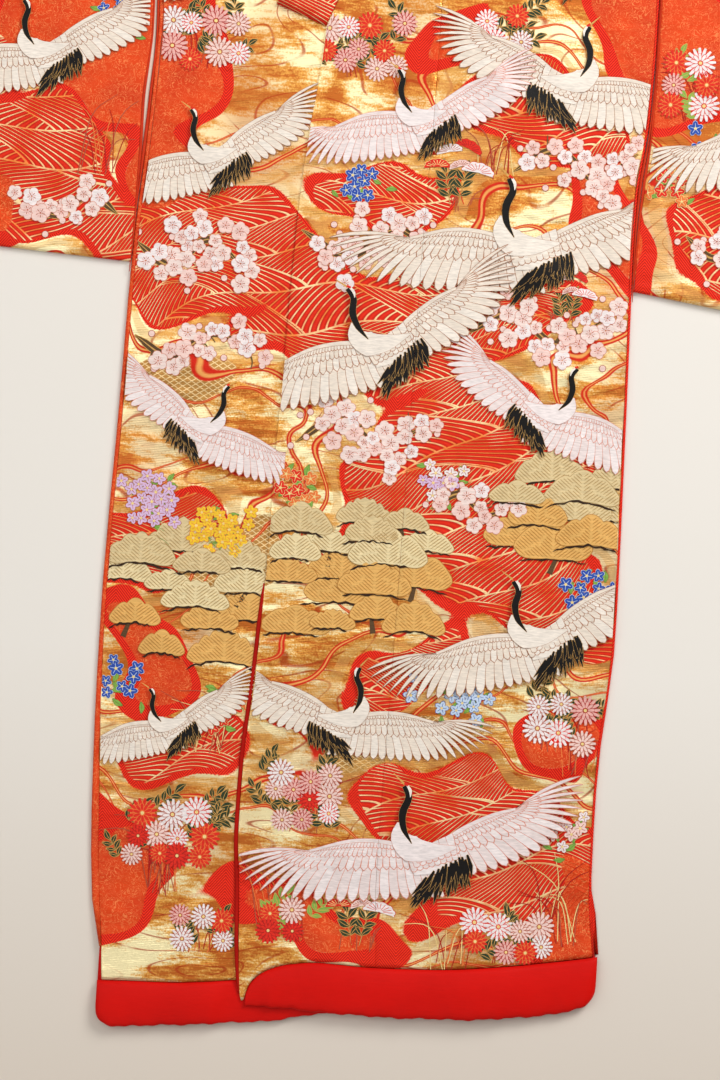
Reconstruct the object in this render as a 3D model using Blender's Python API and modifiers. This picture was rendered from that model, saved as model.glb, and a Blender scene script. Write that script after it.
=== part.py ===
"""Uchikake wedding kimono, laid flat with its front up and the left front over the right.

Metres in Blender; every size below is in millimetres until it is placed. +X is the viewer's
right, which is the wearer's left, +Y runs from the hem to the neck and +Z is up. Sizes are
measured from the front corner of the left hem, and the finished model is moved so that its
origin is the middle of its box, on the surface it lies on.
"""

import math

import bmesh
import bpy
import numpy as np

MM = 0.001

# Driving dimensions.
CLOTH = 2.4  # brocade, interlining and lining, pressed together
COLLAR_THICK = 3.4
SEAM_GAP = 0.3
LAYER = CLOTH + SEAM_GAP
SHOULDER_Y = 1930.0
SLEEVE_REACH = 641.0  # from the centre back to the cuff
CUFF_OPENING_Y = 1600.0  # the sleeve's outer edge is sewn up to here
SLEEVE_CORNER = 60.0  # radius of the sleeve's lower outer corner
NECK_HALF = 96.0  # from the centre back to the neck side
NECK_BACK_Y = 1903.0  # lowest point of the back neckline
NECK_SIDE_RISE = 14.0  # how much higher the neckline is at the neck side
GORE_POINT_Y = 1600.0  # where the gore's seam meets the collar
COLLAR_END_Y = 1175.0
COLLAR_WIDE = 65.0
ROLL_BACK_THICK = 6.5
ROLL_FRONT_THICK = 8.0
ROLL_OVER_THICK = 9.0
ROLL_SQUASHED = 3.2  # the right roll, where the left front lies on it
EDGING_WIDE = 5.0
EDGING_THICK = 1.8
EDGING_LOW_Y = 14.0
EDGING_HIGH_Y = 505.0
LINING_THICK = 1.2
LINING_WIDE = 24.0
ARMHOLE_Y = 1680.0  # the sleeve hangs free of the body below here
SIDE_CURL_STEPS = 4
EDGE_CROWDING = 2.0  # how much the gore's columns crowd towards its free edge
HEM_ROW = 60.0  # nominal height of the cloth's lowest row
HEM_FADE = 160.0  # rows of the cloth follow the hem's curve within this height
HEM_GAP = 1.0  # along the curved hem seams, whose two sides are faceted differently
SIDE_GAP = 2.0  # between the hanging part of a sleeve and the body
TURN_Y = SHOULDER_Y - 30  # where the walls begin to close over the shoulder
TURN_FULLNESS = 1.25  # how early the turn over the shoulder reaches its full length
NECK_FADE_Y = 1500.0  # the back's rows bend towards the neckline from here up
STRIP_TUCK = 5.0  # how far the right side's turned edge is drawn in at the hem
ROLL_STEPS = 40
ROLL_CORNER = 19.0  # radius of a roll's lower corner
ROLL_END_HIGH = 0.62  # how much of a roll's height and thickness is left at its ends
ROLL_END_THICK = 0.4

# Where one height of the layers changes into another: where the change starts and how far it
# runs, with a minus sign when it runs down or to the left.
OVER_FADE = (160.0, 80.0)  # across, from two fronts to one
COLLAR_FADE = (1130.0, 50.0)  # the right front's collar comes in under the left front
LEFT_ROLL_FADE = (150.0, -90.0)  # the hem rolls come in under the left front
RIGHT_ROLL_FADE = (125.0, -85.0)  # the back's hem roll comes in under the right front
HIDDEN_FADE = (-175.0, 30.0)  # across, the right front goes flat under the left one
COLLAR_STAND = (1740.0, 170.0)  # the flat collar begins to stand up
COLLAR_LIFT = (1780.0, 120.0)  # the standing collar leaves the fronts
COLLAR_LIFT_HIGH = 2.2
RIGHT_ROLL_SQUASH = (-165.0, 32.0)  # across, the right roll goes under the left front
LEFT_ROLL_SWELL = (-124.0, 40.0)  # across, the left roll swells from its thin front corner
LEFT_ROLL_THIN = 0.45
TUCK_FADE = (95.0, -36.0)  # the turned edge is drawn in towards the hem's corner

# Side edges of the body. right_ is the viewer's left. edge is the outermost line, strip the
# width of the back panel that wraps round it to the side seam.
SIDES = {
    "y": (-60, 19, 76, 169, 233, 270, 316, 364, 411, 463, 713, 880, 946, 1005, 1070, 1158,
          1233, 1500, 1700, 1930),
    "right_edge": (-290, -297, -306, -315, -318, -319, -320, -321, -321, -321, -314, -310,
                   -307, -302, -298, -294.5, -297, -300, -300, -300),
    "right_strip": (4.5, 4.5, 9, 9, 9, 8, 7, 6, 5.5, 5, 5, 5, 5, 5, 5, 5, 5, 5, 5, 5),
    "left_edge": (306, 303, 296, 286, 285, 285, 286, 290, 294, 297, 294, 291, 290, 291.5,
                  299.5, 303, 303, 300, 300, 300),
    "left_strip": (3.3,) * 20,
}
# Open inner edges of the sleeves.
SLEEVE_EDGES = {
    "y": (800, 889, 946, 1005, 1070, 1158, 1233, 1400, 1680, 1930),
    "right_x": (-310.5, -311, -309.5, -309, -309, -302, -303, -302.5, -300.6, -300.6),
    "left_x": (293, 293.5, 295, 299, 304, 306, 306, 303, 300.6, 300.6),
}
# Lower edges of the sleeves, by distance from the centre back.
SLEEVE_HEMS = {
    "x": (280, 310, 400, 470, 641),
    "right_y": (879, 880, 885, 889, 897),
    "left_y": (882, 878, 865, 856, 838),
}
# The left front's free edge, and its gore seam.
FRONT_EDGE = {
    "y": (-60, 3, 9, 70, 140, 210, 292, 362, 437, 525, 672, 798, 889, 967, 1053, 1098, 1175),
    "x": (-122, -123, -126, -131, -135, -140, -139, -134, -129, -126, -123, -119, -116, -113,
          -106, -100, -94),
}
GORE_SEAM = {
    "y": (-60, 62, 158, 500, 912, 1106, 1400, 1600, 1930),
    "x": (34, 33, 28, 33, 37, 42, 44, 45, 45),
}
# The collar's seam on the left front.
COLLAR_SEAM = {
    "y": (1175, 1300, 1450, 1600, 1750, 1860, 1930),
    "x": (-94, -45, 5, 45, 74, 90, 96),
}
# Hem lines: top is where the cloth meets the roll, low is the roll's lower edge.
LEFT_HEM = {
    "x": (-123.5, -120, -115, -105, -91, -71, -36, 25, 101, 183, 250, 310),
    "top": (6, 17, 28, 39, 47, 53, 57, 55, 57, 65, 75, 86),
    "low": (1, 0.5, 0.2, 0, -0.3, -1, -2, -4, -3, 2, 12, 28),
}
RIGHT_HEM = {
    "x": (-330, -295, -261, -212, -174, -129, -95, -12, 60, 140),
    "top": (20, 20, 21, 22, 25, 30, 33, 44, 47, 48),
    "low": (-36, -35, -33.5, -30, -26, -22, -18, -3, 4, 7),
}
BACK_HEM = {
    "x": (-320, -261, -174, -95, -12, 105, 234, 310),
    "top": (59, 61, 64, 67, 70, 75, 81, 85),
    "low": (-31, -29, -22, -14, 1, 2, 14, 30),
}
# Section of a padded roll: across is 0 at the lower edge and 1 at the seam.
ROLL_SECTION = {
    "across": (0.07, 0.0, 0.015, 0.10, 0.27, 0.52, 0.78, 1.0, 1.0),
    "up": (0.0, 0.32, 0.62, 0.88, 1.0, 0.98, 0.74, 0.33, 0.0),
}
# Soft folds that stand up in the upper cloth: a ridge from one point to another.
LEFT_FOLDS = {
    "x0": (60, 250, 120, -70, 210, 235, 190, 255, 70, -60),
    "y0": (1180, 1075, 930, 760, 640, 430, 330, 250, 470, 230),
    "x1": (215, 150, 255, 20, 285, 285, 285, 283, 150, 40),
    "y1": (1020, 960, 860, 600, 560, 395, 300, 150, 330, 130),
    "rise": (3.2, 2.6, 2.8, 2.0, 2.4, 3.0, 3.4, 3.0, 1.8, 1.6),
    "spread": (26, 18, 24, 22, 20, 17, 16, 18, 30, 26),
}
RIGHT_FOLDS = {
    "x0": (-290, -280, -170, -295, -200, -280),
    "y0": (1090, 800, 700, 470, 330, 210),
    "x1": (-190, -180, -240, -200, -270, -180),
    "y1": (990, 730, 590, 400, 240, 120),
    "rise": (2.4, 2.6, 2.0, 2.8, 2.4, 2.0),
    "spread": (20, 22, 18, 20, 18, 22),
}
# Folds of both sleeves, by distance from the centre back.
SLEEVE_FOLDS = {
    "x0": (330, 360, 420, 480, 560, 400),
    "y0": (1650, 1180, 1420, 1000, 1300, 1800),
    "x1": (420, 450, 540, 600, 610, 560),
    "y1": (1400, 960, 1180, 930, 1040, 1700),
    "rise": (2.6, 2.8, 2.2, 2.4, 2.6, 2.0),
    "spread": (24, 22, 28, 20, 24, 26),
}
# The collar from the left front round the neck to the right front. x, y, z run along its
# seam; lean_ points from the seam to the free edge.
NECK_TURN = {
    "step": (0, 1, 2, 3, 4, 5),
    "x": (93.0, 91.5, 84.0, 64.0, 34.0, 0.0),
    "y": (1906.0, 1922.0, 1929.0, 1923.0, 1912.0, 1907.0),
    "z": (8.6, 8.4, 6.6, 4.6, 3.6, 3.3),
    "lean_x": (-50, -38, -26, -13, -5, 0),
    "lean_y": (22, 32, 41, 50, 55, 57),
    "lean_z": (34, 41, 43, 39, 34, 31),
}

GOLD = (0.66, 0.42, 0.13, 1)
ORANGE = (0.75, 0.12, 0.02, 1)
RED = (0.62, 0.03, 0.01, 1)
PALE = (0.85, 0.78, 0.72, 1)


def clear_scene():
    for found in list(bpy.data.objects):
        bpy.data.objects.remove(found)


def along(table, column, at, key="y"):
    """A column of a table at one place, on a smooth curve that never overshoots its rows."""
    places, values = table[key], table[column]
    if at <= places[0]:
        return float(values[0])
    if at >= places[-1]:
        return float(values[-1])
    i = int(np.searchsorted(places, at, side="right")) - 1
    slopes = [
        (values[k + 1] - values[k]) / (places[k + 1] - places[k]) for k in range(len(places) - 1)
    ]

    def tangent(k):
        if k in (0, len(places) - 1):
            return slopes[min(k, len(slopes) - 1)]
        before, after = slopes[k - 1], slopes[k]
        return 0.0 if before * after <= 0 else 2 * before * after / (before + after)

    span = places[i + 1] - places[i]
    t = (at - places[i]) / span
    return float(
        (2 * t**3 - 3 * t**2 + 1) * values[i]
        + (t**3 - 2 * t**2 + t) * span * tangent(i)
        + (3 * t**2 - 2 * t**3) * values[i + 1]
        + (t**3 - t**2) * span * tangent(i + 1)
    )


def smooth(t):
    t = min(max(t, 0.0), 1.0)
    return t * t * (3 - 2 * t)


def fade(at, change):
    """0 before a change of height starts and 1 once it has run its course."""
    return smooth((at - change[0]) / change[1])


def fold_rise(table, x, y):
    """How far the soft folds lift the cloth at a point."""
    rise = 0.0
    for x0, y0, x1, y1, high, spread in zip(*(table[k] for k in table)):
        run = (x1 - x0, y1 - y0)
        t = ((x - x0) * run[0] + (y - y0) * run[1]) / (run[0] ** 2 + run[1] ** 2)
        t = min(max(t, 0.0), 1.0)
        away = math.hypot(x - x0 - t * run[0], y - y0 - t * run[1])
        rise += high * math.sin(math.pi * (0.12 + 0.76 * t)) * math.exp(-((away / spread) ** 2))
    return rise


def centre_x(y):
    return (along(SIDES, "right_edge", y) + along(SIDES, "left_edge", y)) / 2


def mirrored(table, y):
    """A line of the left front, carried across the centre back to the right front."""
    return 2 * centre_x(y) - along(table, "x", y)


def side_seam(side, y):
    """Where the front panel meets the strip of back panel that wraps round the edge."""
    if side == "left":
        return along(SIDES, "left_edge", y) - along(SIDES, "left_strip", y)
    return along(SIDES, "right_edge", y) + along(SIDES, "right_strip", y)


def over_share(x):
    """1 where the left front lies on the right front, 0 where it lies on the back."""
    return 1 - fade(x, OVER_FADE)


def left_base(x, y):
    """Underside of the left front: over the right front, its collar and its hem roll."""
    share = over_share(x)
    collar_room = (COLLAR_THICK - CLOTH) * fade(y, COLLAR_FADE)
    roll_room = ROLL_BACK_THICK - CLOTH + (ROLL_SQUASHED - CLOTH + SEAM_GAP) * share
    return LAYER + share * (LAYER + collar_room) + fade(y, LEFT_ROLL_FADE) * roll_room


def right_base(_x, y):
    """Underside of the right front: on the back, and over its hem roll at the bottom."""
    return LAYER + fade(y, RIGHT_ROLL_FADE) * (ROLL_BACK_THICK - CLOTH)


def left_front(x, y):
    """Middle of the left front's wall."""
    return left_base(x, y) + CLOTH / 2 + fold_rise(LEFT_FOLDS, x, y)


def right_front(x, y):
    hidden = fade(x, HIDDEN_FADE)
    return right_base(x, y) + CLOTH / 2 + fold_rise(RIGHT_FOLDS, x, y) * (1 - hidden)


def material(name, color, metallic, roughness):
    made = bpy.data.materials.new(name)
    made.use_nodes = True
    shader = made.node_tree.nodes["Principled BSDF"]
    shader.inputs["Base Color"].default_value = color
    shader.inputs["Metallic"].default_value = metallic
    shader.inputs["Roughness"].default_value = roughness
    made.diffuse_color = color
    return made


def finish(bm, name, color, metallic, roughness, group):
    """Turns a bmesh in millimetres into a named object of the kimono."""
    bmesh.ops.scale(bm, vec=(MM, MM, MM), verts=bm.verts)
    bmesh.ops.recalc_face_normals(bm, faces=bm.faces)
    mesh = bpy.data.meshes.new(name)
    bm.to_mesh(mesh)
    bm.free()
    mesh.shade_smooth()
    mesh.materials.append(material(name + "_finish", color, metallic, roughness))
    made = bpy.data.objects.new(name, mesh)
    group.objects.link(made)
    return made


def add_wall(made):
    wall = made.modifiers.new("wall", "SOLIDIFY")
    wall.thickness = CLOTH * MM
    wall.offset = 0
    wall.use_even_offset = True
    wall.use_rim = True


def grid(columns, rows, place):
    """A grid of cloth with place(column, row) for each corner; None leaves a corner out."""
    bm = bmesh.new()
    bmesh.ops.create_grid(bm, x_segments=columns, y_segments=rows, size=1)
    left_out = []
    for corner in list(bm.verts):
        i = round((corner.co.x + 1) / 2 * columns)
        j = round((corner.co.y + 1) / 2 * rows)
        point = place(i, j)
        if point is None:
            left_out.append(corner)
        else:
            corner.co = point
    bmesh.ops.delete(bm, geom=left_out, context="VERTS")
    return bm


def loft(rings):
    """A closed body through rings of equal point counts, capped at both ends."""
    bm = bmesh.new()
    made = [[bm.verts.new(point) for point in ring] for ring in rings]
    for first, second in zip(made, made[1:]):
        for k, corner in enumerate(first):
            after = (k + 1) % len(first)
            bm.faces.new((corner, first[after], second[after], second[k]))
    bm.faces.new(list(reversed(made[0])))
    bm.faces.new(made[-1])
    return bm


def spaced(low, high, steps):
    return [low + (high - low) * k / steps for k in range(steps + 1)]


def front_rows():
    """Heights of the rows that the front panels, gores and collar share."""
    lower = spaced(HEM_ROW, 500, 12)
    middle = spaced(500, COLLAR_END_Y, 11)[1:]
    upper = spaced(COLLAR_END_Y, GORE_POINT_Y, 7)[1:]
    top = spaced(GORE_POINT_Y, TURN_Y, 6)[1:]
    return lower + middle + upper + top


def hem_row(table, nominal, x_at):
    """A row's place at one column, bent to the hem's curve near the hem.

    x_at gives the column's X for a height.
    """
    y = nominal
    for _ in range(3):
        lift = along(table, "top", x_at(y), "x") - HEM_ROW
        y = nominal + lift * (1 - smooth((nominal - HEM_ROW) / HEM_FADE))
    return x_at(y), y


def body_panel(side, group):
    """One body length: up the back, over the shoulder and down the front to its hem."""
    toward = 1 if side == "left" else -1
    hem = LEFT_HEM if side == "left" else RIGHT_HEM
    front_z = left_front if side == "left" else right_front
    neck_columns = 3
    panel_columns = 8
    curl_columns = SIDE_CURL_STEPS + 2
    columns = neck_columns + panel_columns + curl_columns
    back = spaced(HEM_ROW, 500, 6) + spaced(500, 1500, 8)[1:] + spaced(1500, TURN_Y, 5)[1:]
    front = list(reversed(front_rows()))
    turn_steps = 6
    rows = len(back) + turn_steps + len(front) - 1
    last_panel = neck_columns + panel_columns

    def front_inner(y):
        """The panel's inner edge: the collar seam above the gore's point, the gore seam below."""
        line = COLLAR_SEAM if y > GORE_POINT_Y else GORE_SEAM
        inner = along(line, "x", y) if side == "left" else mirrored(line, y)
        return inner + toward * SEAM_GAP / 2

    def front_outer(y):
        return side_seam(side, y) - toward * SEAM_GAP / 2

    def across(inner, outer, i):
        share = (i - neck_columns) / panel_columns
        return inner + (outer - inner) * share

    def back_x(i, y):
        inner = centre_x(y) + toward * SEAM_GAP / 2
        neck = centre_x(y) + toward * NECK_HALF
        if i <= neck_columns:
            return inner + (neck - inner) * i / neck_columns
        return across(neck, front_outer(y), i)

    def back_y(i, j, y):
        """Rows end on the hem line below and on the neckline's curve above."""
        if i < neck_columns:
            share = i / neck_columns
            neck = NECK_BACK_Y + NECK_SIDE_RISE * share**2
            top = TURN_Y
            y += (neck - top) * smooth((y - NECK_FADE_Y) / (top - NECK_FADE_Y))
        if y < HEM_ROW + HEM_FADE:
            x = back_x(min(i, last_panel), y)
            lift = along(BACK_HEM, "top", x, "x") - HEM_ROW
            y += lift * (1 - smooth((y - HEM_ROW) / HEM_FADE))
        return y

    def curl(i, y):
        """The back panel's edge, turned up and in to the side seam."""
        base = right_base(0, y) if side == "right" else left_base(SLEEVE_REACH, y)
        step = i - last_panel - 1
        if step > SIDE_CURL_STEPS:
            return side_seam(side, y) + toward * SEAM_GAP / 2, base + CLOTH / 2
        angle = math.pi * step / SIDE_CURL_STEPS
        turn = LAYER / 2
        edge = along(SIDES, side + "_edge", y)
        if side == "right":
            edge += STRIP_TUCK * fade(y, TUCK_FADE)
        middle = edge - toward * (turn + CLOTH / 2)
        # Near the hem roll the strip opens out with the front panel.
        rise = (1 - math.cos(angle)) / 2
        return (
            middle + toward * turn * math.sin(angle),
            CLOTH / 2 + LAYER * rise + (base - LAYER) * rise**2,
        )

    def place(i, j):
        if j < len(back):
            y = back_y(i, j, back[j])
            if i <= last_panel:
                return back_x(i, y), y, CLOTH / 2
            x, z = curl(i, y)
            return x, y, z
        if i < neck_columns or i > last_panel:
            return None
        if j < len(back) + turn_steps:
            # Half a turn over the shoulder, from the back wall to the front wall.
            angle = math.pi * (j - len(back) + 0.5) / turn_steps
            y = TURN_Y
            x = across(front_inner(y), front_outer(y), i)
            high = front_z(x, y)
            radius = (high - CLOTH / 2) / 2
            reach = SHOULDER_Y - CLOTH / 2 - radius
            share = min(1.0, math.sin(angle) * TURN_FULLNESS)
            return (
                x,
                y + (reach - y) * share + radius * math.sin(angle) * share,
                CLOTH / 2 + radius * (1 - math.cos(angle)),
            )
        nominal = front[j - len(back) - turn_steps]
        if nominal < HEM_ROW + HEM_FADE:
            x, y = hem_row(hem, nominal, lambda y: across(front_inner(y), front_outer(y), i))
        else:
            x, y = across(front_inner(nominal), front_outer(nominal), i), nominal
        return x, y, front_z(x, y)

    bm = grid(columns, rows, place)
    made = finish(bm, "body_" + side, GOLD, 0.6, 0.4, group)
    add_wall(made)
    return made


def gore(side, group):
    """The okumi: from the hem to its point on the collar, beside the front panel."""
    toward = 1 if side == "left" else -1
    hem = LEFT_HEM if side == "left" else RIGHT_HEM
    front_z = left_front if side == "left" else right_front
    rows = [y for y in front_rows() if y < GORE_POINT_Y - 5] + [GORE_POINT_Y - 8]
    columns = 8

    def line(table, y):
        return along(table, "x", y) if side == "left" else mirrored(table, y)

    def inner(y):
        """The free front edge, and above the collar's end the collar seam."""
        table = FRONT_EDGE if y <= COLLAR_END_Y else COLLAR_SEAM
        gap = 0 if y < COLLAR_END_Y - 1 else toward * SEAM_GAP / 2
        return line(table, y) + gap

    def outer(y):
        return line(GORE_SEAM, y) - toward * SEAM_GAP / 2

    def place(i, j):
        def across(y):
            return inner(y) + (outer(y) - inner(y)) * (i / columns) ** EDGE_CROWDING

        if rows[j] < HEM_ROW + HEM_FADE:
            x, y = hem_row(hem, rows[j], across)
        else:
            x, y = across(rows[j]), rows[j]
        return x, y, front_z(x, y)

    made = finish(grid(columns, len(rows) - 1, place), "okumi_" + side, GOLD, 0.6, 0.4, group)
    add_wall(made)
    return made


def sleeve(side, group):
    """A length folded at the shoulder, sewn along the bottom and part of the cuff."""
    toward = 1 if side == "left" else -1
    front_low = LAYER + LINING_THICK + SEAM_GAP
    front_mid = front_low + CLOTH / 2
    turn = (front_mid - CLOTH / 2) / 2
    columns = 11
    levels = 15
    turn_steps = 4
    share_of_cuff = [1 - (1 - k / columns) ** 1.5 for k in range(columns + 1)]

    def inner_edge(y, on_front):
        """Distance of the open edge from the centre; the back wall reaches to the body."""
        if on_front:
            return toward * along(SLEEVE_EDGES, side + "_x", y)
        body = toward * along(SIDES, side + "_edge", y)
        return body + SEAM_GAP + SIDE_GAP * smooth((ARMHOLE_Y + 100 - y) / 60)

    def hem_y(out):
        """The lower edge, rounded up at its outer corner."""
        corner = SLEEVE_REACH - SLEEVE_CORNER
        rise = 0.0
        if out > corner:
            rise = SLEEVE_CORNER - math.sqrt(
                max(SLEEVE_CORNER**2 - (out - corner) ** 2, 0.0)
            )
        return along(SLEEVE_HEMS, side + "_y", out, "x") + rise + CLOTH / 2 + turn

    def point(i, level, on_front):
        """A corner of the flat of the sleeve; level runs from 0 at the hem to 1 at the fold."""
        high = SHOULDER_Y - CLOTH / 2 - turn
        share = share_of_cuff[i]
        reach = SLEEVE_REACH - CLOTH / 2 - turn
        out = 300 + (reach - 300) * share
        for _ in range(2):
            y = hem_y(out) + (high - hem_y(out)) * level
            out = inner_edge(y, on_front) + (reach - inner_edge(y, on_front)) * share
        y = hem_y(out) + (high - hem_y(out)) * level
        x = toward * out
        if on_front:
            return x, y, front_mid + fold_rise(SLEEVE_FOLDS, out, y) * smooth((out - 300) / 40)
        return x, y, CLOTH / 2

    bm = bmesh.new()
    loops = []
    for i in range(columns + 1):
        ring = [point(i, k / levels, True) for k in range(levels + 1)]
        top_front, top_back = ring[-1], point(i, 1, False)
        for k in range(1, turn_steps):
            angle = math.pi * k / turn_steps
            x = top_front[0] + (top_back[0] - top_front[0]) * k / turn_steps
            middle = (top_front[2] + CLOTH / 2) / 2
            ring.append((x, top_front[1] + turn * math.sin(angle),
                         middle + (top_front[2] - middle) * math.cos(angle)))
        ring += [point(i, 1 - k / levels, False) for k in range(levels + 1)]
        low_front, low_back = ring[0], ring[-1]
        for k in range(1, turn_steps):
            angle = math.pi * k / turn_steps
            x = low_back[0] + (low_front[0] - low_back[0]) * k / turn_steps
            middle = (low_front[2] + CLOTH / 2) / 2
            ring.append((x, low_front[1] - turn * math.sin(angle),
                         middle - (low_front[2] - middle) * math.cos(angle)))
        loops.append([bm.verts.new(corner) for corner in ring])
    count = len(loops[0])
    for first, second in zip(loops, loops[1:]):
        for k in range(count):
            after = (k + 1) % count
            bm.faces.new((first[k], first[after], second[after], second[k]))
    # The outer edge is sewn from the hem up to the cuff's opening.
    last = loops[-1]
    back_start = levels + turn_steps
    sewn = [k for k in range(levels + 1) if last[k].co.y <= CUFF_OPENING_Y]
    before = [last[0]] + [last[count - k] for k in range(1, turn_steps)] + [
        last[back_start + levels]
    ]
    for k in sewn[1:]:
        front, behind = last[k], last[back_start + levels - k]
        middle = (front.co.z + behind.co.z) / 2
        column = [front]
        for step in range(1, turn_steps):
            angle = math.pi * step / turn_steps
            column.append(bm.verts.new((
                front.co.x + toward * turn * math.sin(angle),
                front.co.y,
                middle + (front.co.z - middle) * math.cos(angle),
            )))
        column.append(behind)
        for step in range(turn_steps):
            bm.faces.new((before[step], before[step + 1], column[step + 1], column[step]))
        before = column
    made = finish(bm, "sleeve_" + side, ORANGE, 0.3, 0.5, group)
    add_wall(made)
    return made


def strip(name, rows, color, roughness, group):
    """A narrow flat band; each row gives y, one edge, the other edge, underside and top."""
    rings = [
        [(a, y, low), (b, y, low), (b, y, high), (a, y, high)] for y, a, b, low, high in rows
    ]
    return finish(loft(rings), name, color, 0.0, roughness, group)


def sleeve_lining(side, group):
    """The lining's edge on the sleeve's back wall, where the sleeve is open to the body."""
    toward = 1 if side == "left" else -1
    rows = []
    for y in spaced(905, ARMHOLE_Y - 20, 16):
        inner = along(SIDES, side + "_edge", y) + toward * SIDE_GAP
        rows.append((y, inner, inner + toward * LINING_WIDE, LAYER, LAYER + LINING_THICK))
    strip("sleeve_lining_" + side, rows, PALE, 0.5, group)


def front_edging(group):
    """The roll of lining beside the left front's edge, thinning to nothing at both ends."""
    rows = []
    for y in spaced(EDGING_LOW_Y, EDGING_HIGH_Y, 18):
        edge = along(FRONT_EDGE, "x", y) - SEAM_GAP
        ends = min(y - EDGING_LOW_Y, EDGING_HIGH_Y - y)
        wide = EDGING_WIDE * (0.25 + 0.75 * smooth(ends / 60))
        low = left_base(edge, y)
        rows.append((y, edge - wide, edge, low, low + EDGING_THICK))
    strip("front_edging_left", rows, RED, 0.5, group)


def roll_ring(x, top, low, base, thick):
    wide = top - low
    return [
        (x, low + across * wide, base + up * thick)
        for across, up in zip(ROLL_SECTION["across"], ROLL_SECTION["up"])
    ]


def hem_roll(name, table, ends, base, thick, group, cut_square=()):
    """A padded roll under a hem line. Its lower corners are rounded, save at the ends that are
    cut square."""
    start, end = ends
    rings = []
    for k in range(ROLL_STEPS + 1):
        x = start + (end - start) * smooth_ends(k / ROLL_STEPS)
        top = along(table, "top", x - HEM_GAP, "x") - HEM_GAP
        low = along(table, "low", x, "x")
        share = 1.0
        for edge in ends:
            near = min(abs(x - edge) / ROLL_CORNER, 1.0)
            if edge not in cut_square:
                share = min(share, math.sqrt(1 - (1 - near) ** 2))
        low = top - (top - low) * (ROLL_END_HIGH + (1 - ROLL_END_HIGH) * share)
        high = thick(x) * (ROLL_END_THICK + (1 - ROLL_END_THICK) * share)
        rings.append(roll_ring(x, top, low, base(x), high))
    finish(loft(rings), name, RED, 0.0, 0.45, group)


def smooth_ends(t):
    """Stations closer together towards both ends of a roll."""
    return t + 0.75 * (0.5 - 0.5 * math.cos(math.pi * t) - t)


def hem_rolls(group):
    first = ROLL_BACK_THICK + SEAM_GAP
    hem_roll("hem_roll_back", BACK_HEM, (-298, 296), lambda x: 0.0, lambda x: ROLL_BACK_THICK,
             group)

    def right_thick(x):
        return ROLL_FRONT_THICK + (ROLL_SQUASHED - ROLL_FRONT_THICK) * fade(x, RIGHT_ROLL_SQUASH)

    inner_end = mirrored(FRONT_EDGE, 20) - 4
    hem_roll("hem_roll_right", RIGHT_HEM, (-298, inner_end), lambda x: first, right_thick, group,
             cut_square=(inner_end,))

    def left_low(x):
        return first + (ROLL_SQUASHED + SEAM_GAP) * over_share(x)

    def left_thick(x):
        return ROLL_OVER_THICK * (
            LEFT_ROLL_THIN + (1 - LEFT_ROLL_THIN) * fade(x, LEFT_ROLL_SWELL)
        )

    front_corner = -119.5
    hem_roll("hem_roll_left", LEFT_HEM, (front_corner, 298), left_low, left_thick, group,
             cut_square=(front_corner,))


def collar_stations():
    """Seam point and lean of each section, from the left front's end to the right's."""
    shared = [y for y in front_rows() if COLLAR_END_Y <= y <= 1890]
    stations = []
    for y in shared:
        x = along(COLLAR_SEAM, "x", y)
        ahead = along(COLLAR_SEAM, "x", min(y + 6, SHOULDER_Y)) - along(
            COLLAR_SEAM, "x", max(y - 6, COLLAR_END_Y)
        )
        run = min(y + 6, SHOULDER_Y) - max(y - 6, COLLAR_END_Y)
        slope = ahead / run
        size = math.hypot(1, slope)
        lean = np.array((-1 / size, slope / size, 0.0)) * COLLAR_WIDE
        stand = fade(y, COLLAR_STAND)
        turned = np.array([NECK_TURN[k][0] for k in ("lean_x", "lean_y", "lean_z")])
        lean = lean * (1 - stand) + turned * stand
        lean *= COLLAR_WIDE / np.linalg.norm(lean)
        stations.append((x, y, lean))
    return stations


def collar(group):
    """One band; its sections lie flat on both fronts and stand up round the neck."""
    middle = COLLAR_THICK / 2
    left = []
    for x, y, lean in collar_stations():
        z = left_base(x, y) + middle
        lift = COLLAR_LIFT_HIGH * fade(y, COLLAR_LIFT)
        left.append((np.array((x - SEAM_GAP, y, z + lift)), lean))
    turn = []
    for step in spaced(0, 5, 10):
        row = [along(NECK_TURN, k, step, "step") for k in NECK_TURN if k != "step"]
        turn.append((np.array(row[:3]), np.array(row[3:])))
    right = []
    for x, y, lean in reversed(collar_stations()):
        seam = 2 * centre_x(y) - x + SEAM_GAP
        lift = COLLAR_LIFT_HIGH * fade(y, COLLAR_LIFT)
        right.append((
            np.array((seam, y, right_base(x, y) + middle + lift)),
            lean * np.array((-1, 1, 1)),
        ))
    flip = np.array((-1, 1, 1))
    far = []
    for k, (seam, lean) in enumerate(reversed(turn[:-1])):
        # The right side starts lower than the left, which lies on it.
        drop = (left[-1][0][2] - right[0][0][2]) * smooth(k / (len(turn) - 2))
        far.append((seam * flip - np.array((0, 0, drop)), lean * flip))
    stations = left + turn + far + right
    rings = []
    for k, (seam, lean) in enumerate(stations):
        before = stations[max(k - 1, 0)][0]
        after = stations[min(k + 1, len(stations) - 1)][0]
        path = after - before
        out = np.cross(path, lean)
        out *= COLLAR_THICK / 2 / np.linalg.norm(out)
        third = lean * 0.5
        rings.append([tuple(p) for p in (
            seam + out, seam - out,
            seam + third - out, seam + lean - out,
            seam + lean + out, seam + third + out,
        )])
    finish(loft(rings), "collar", RED, 0.1, 0.5, group)


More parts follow.
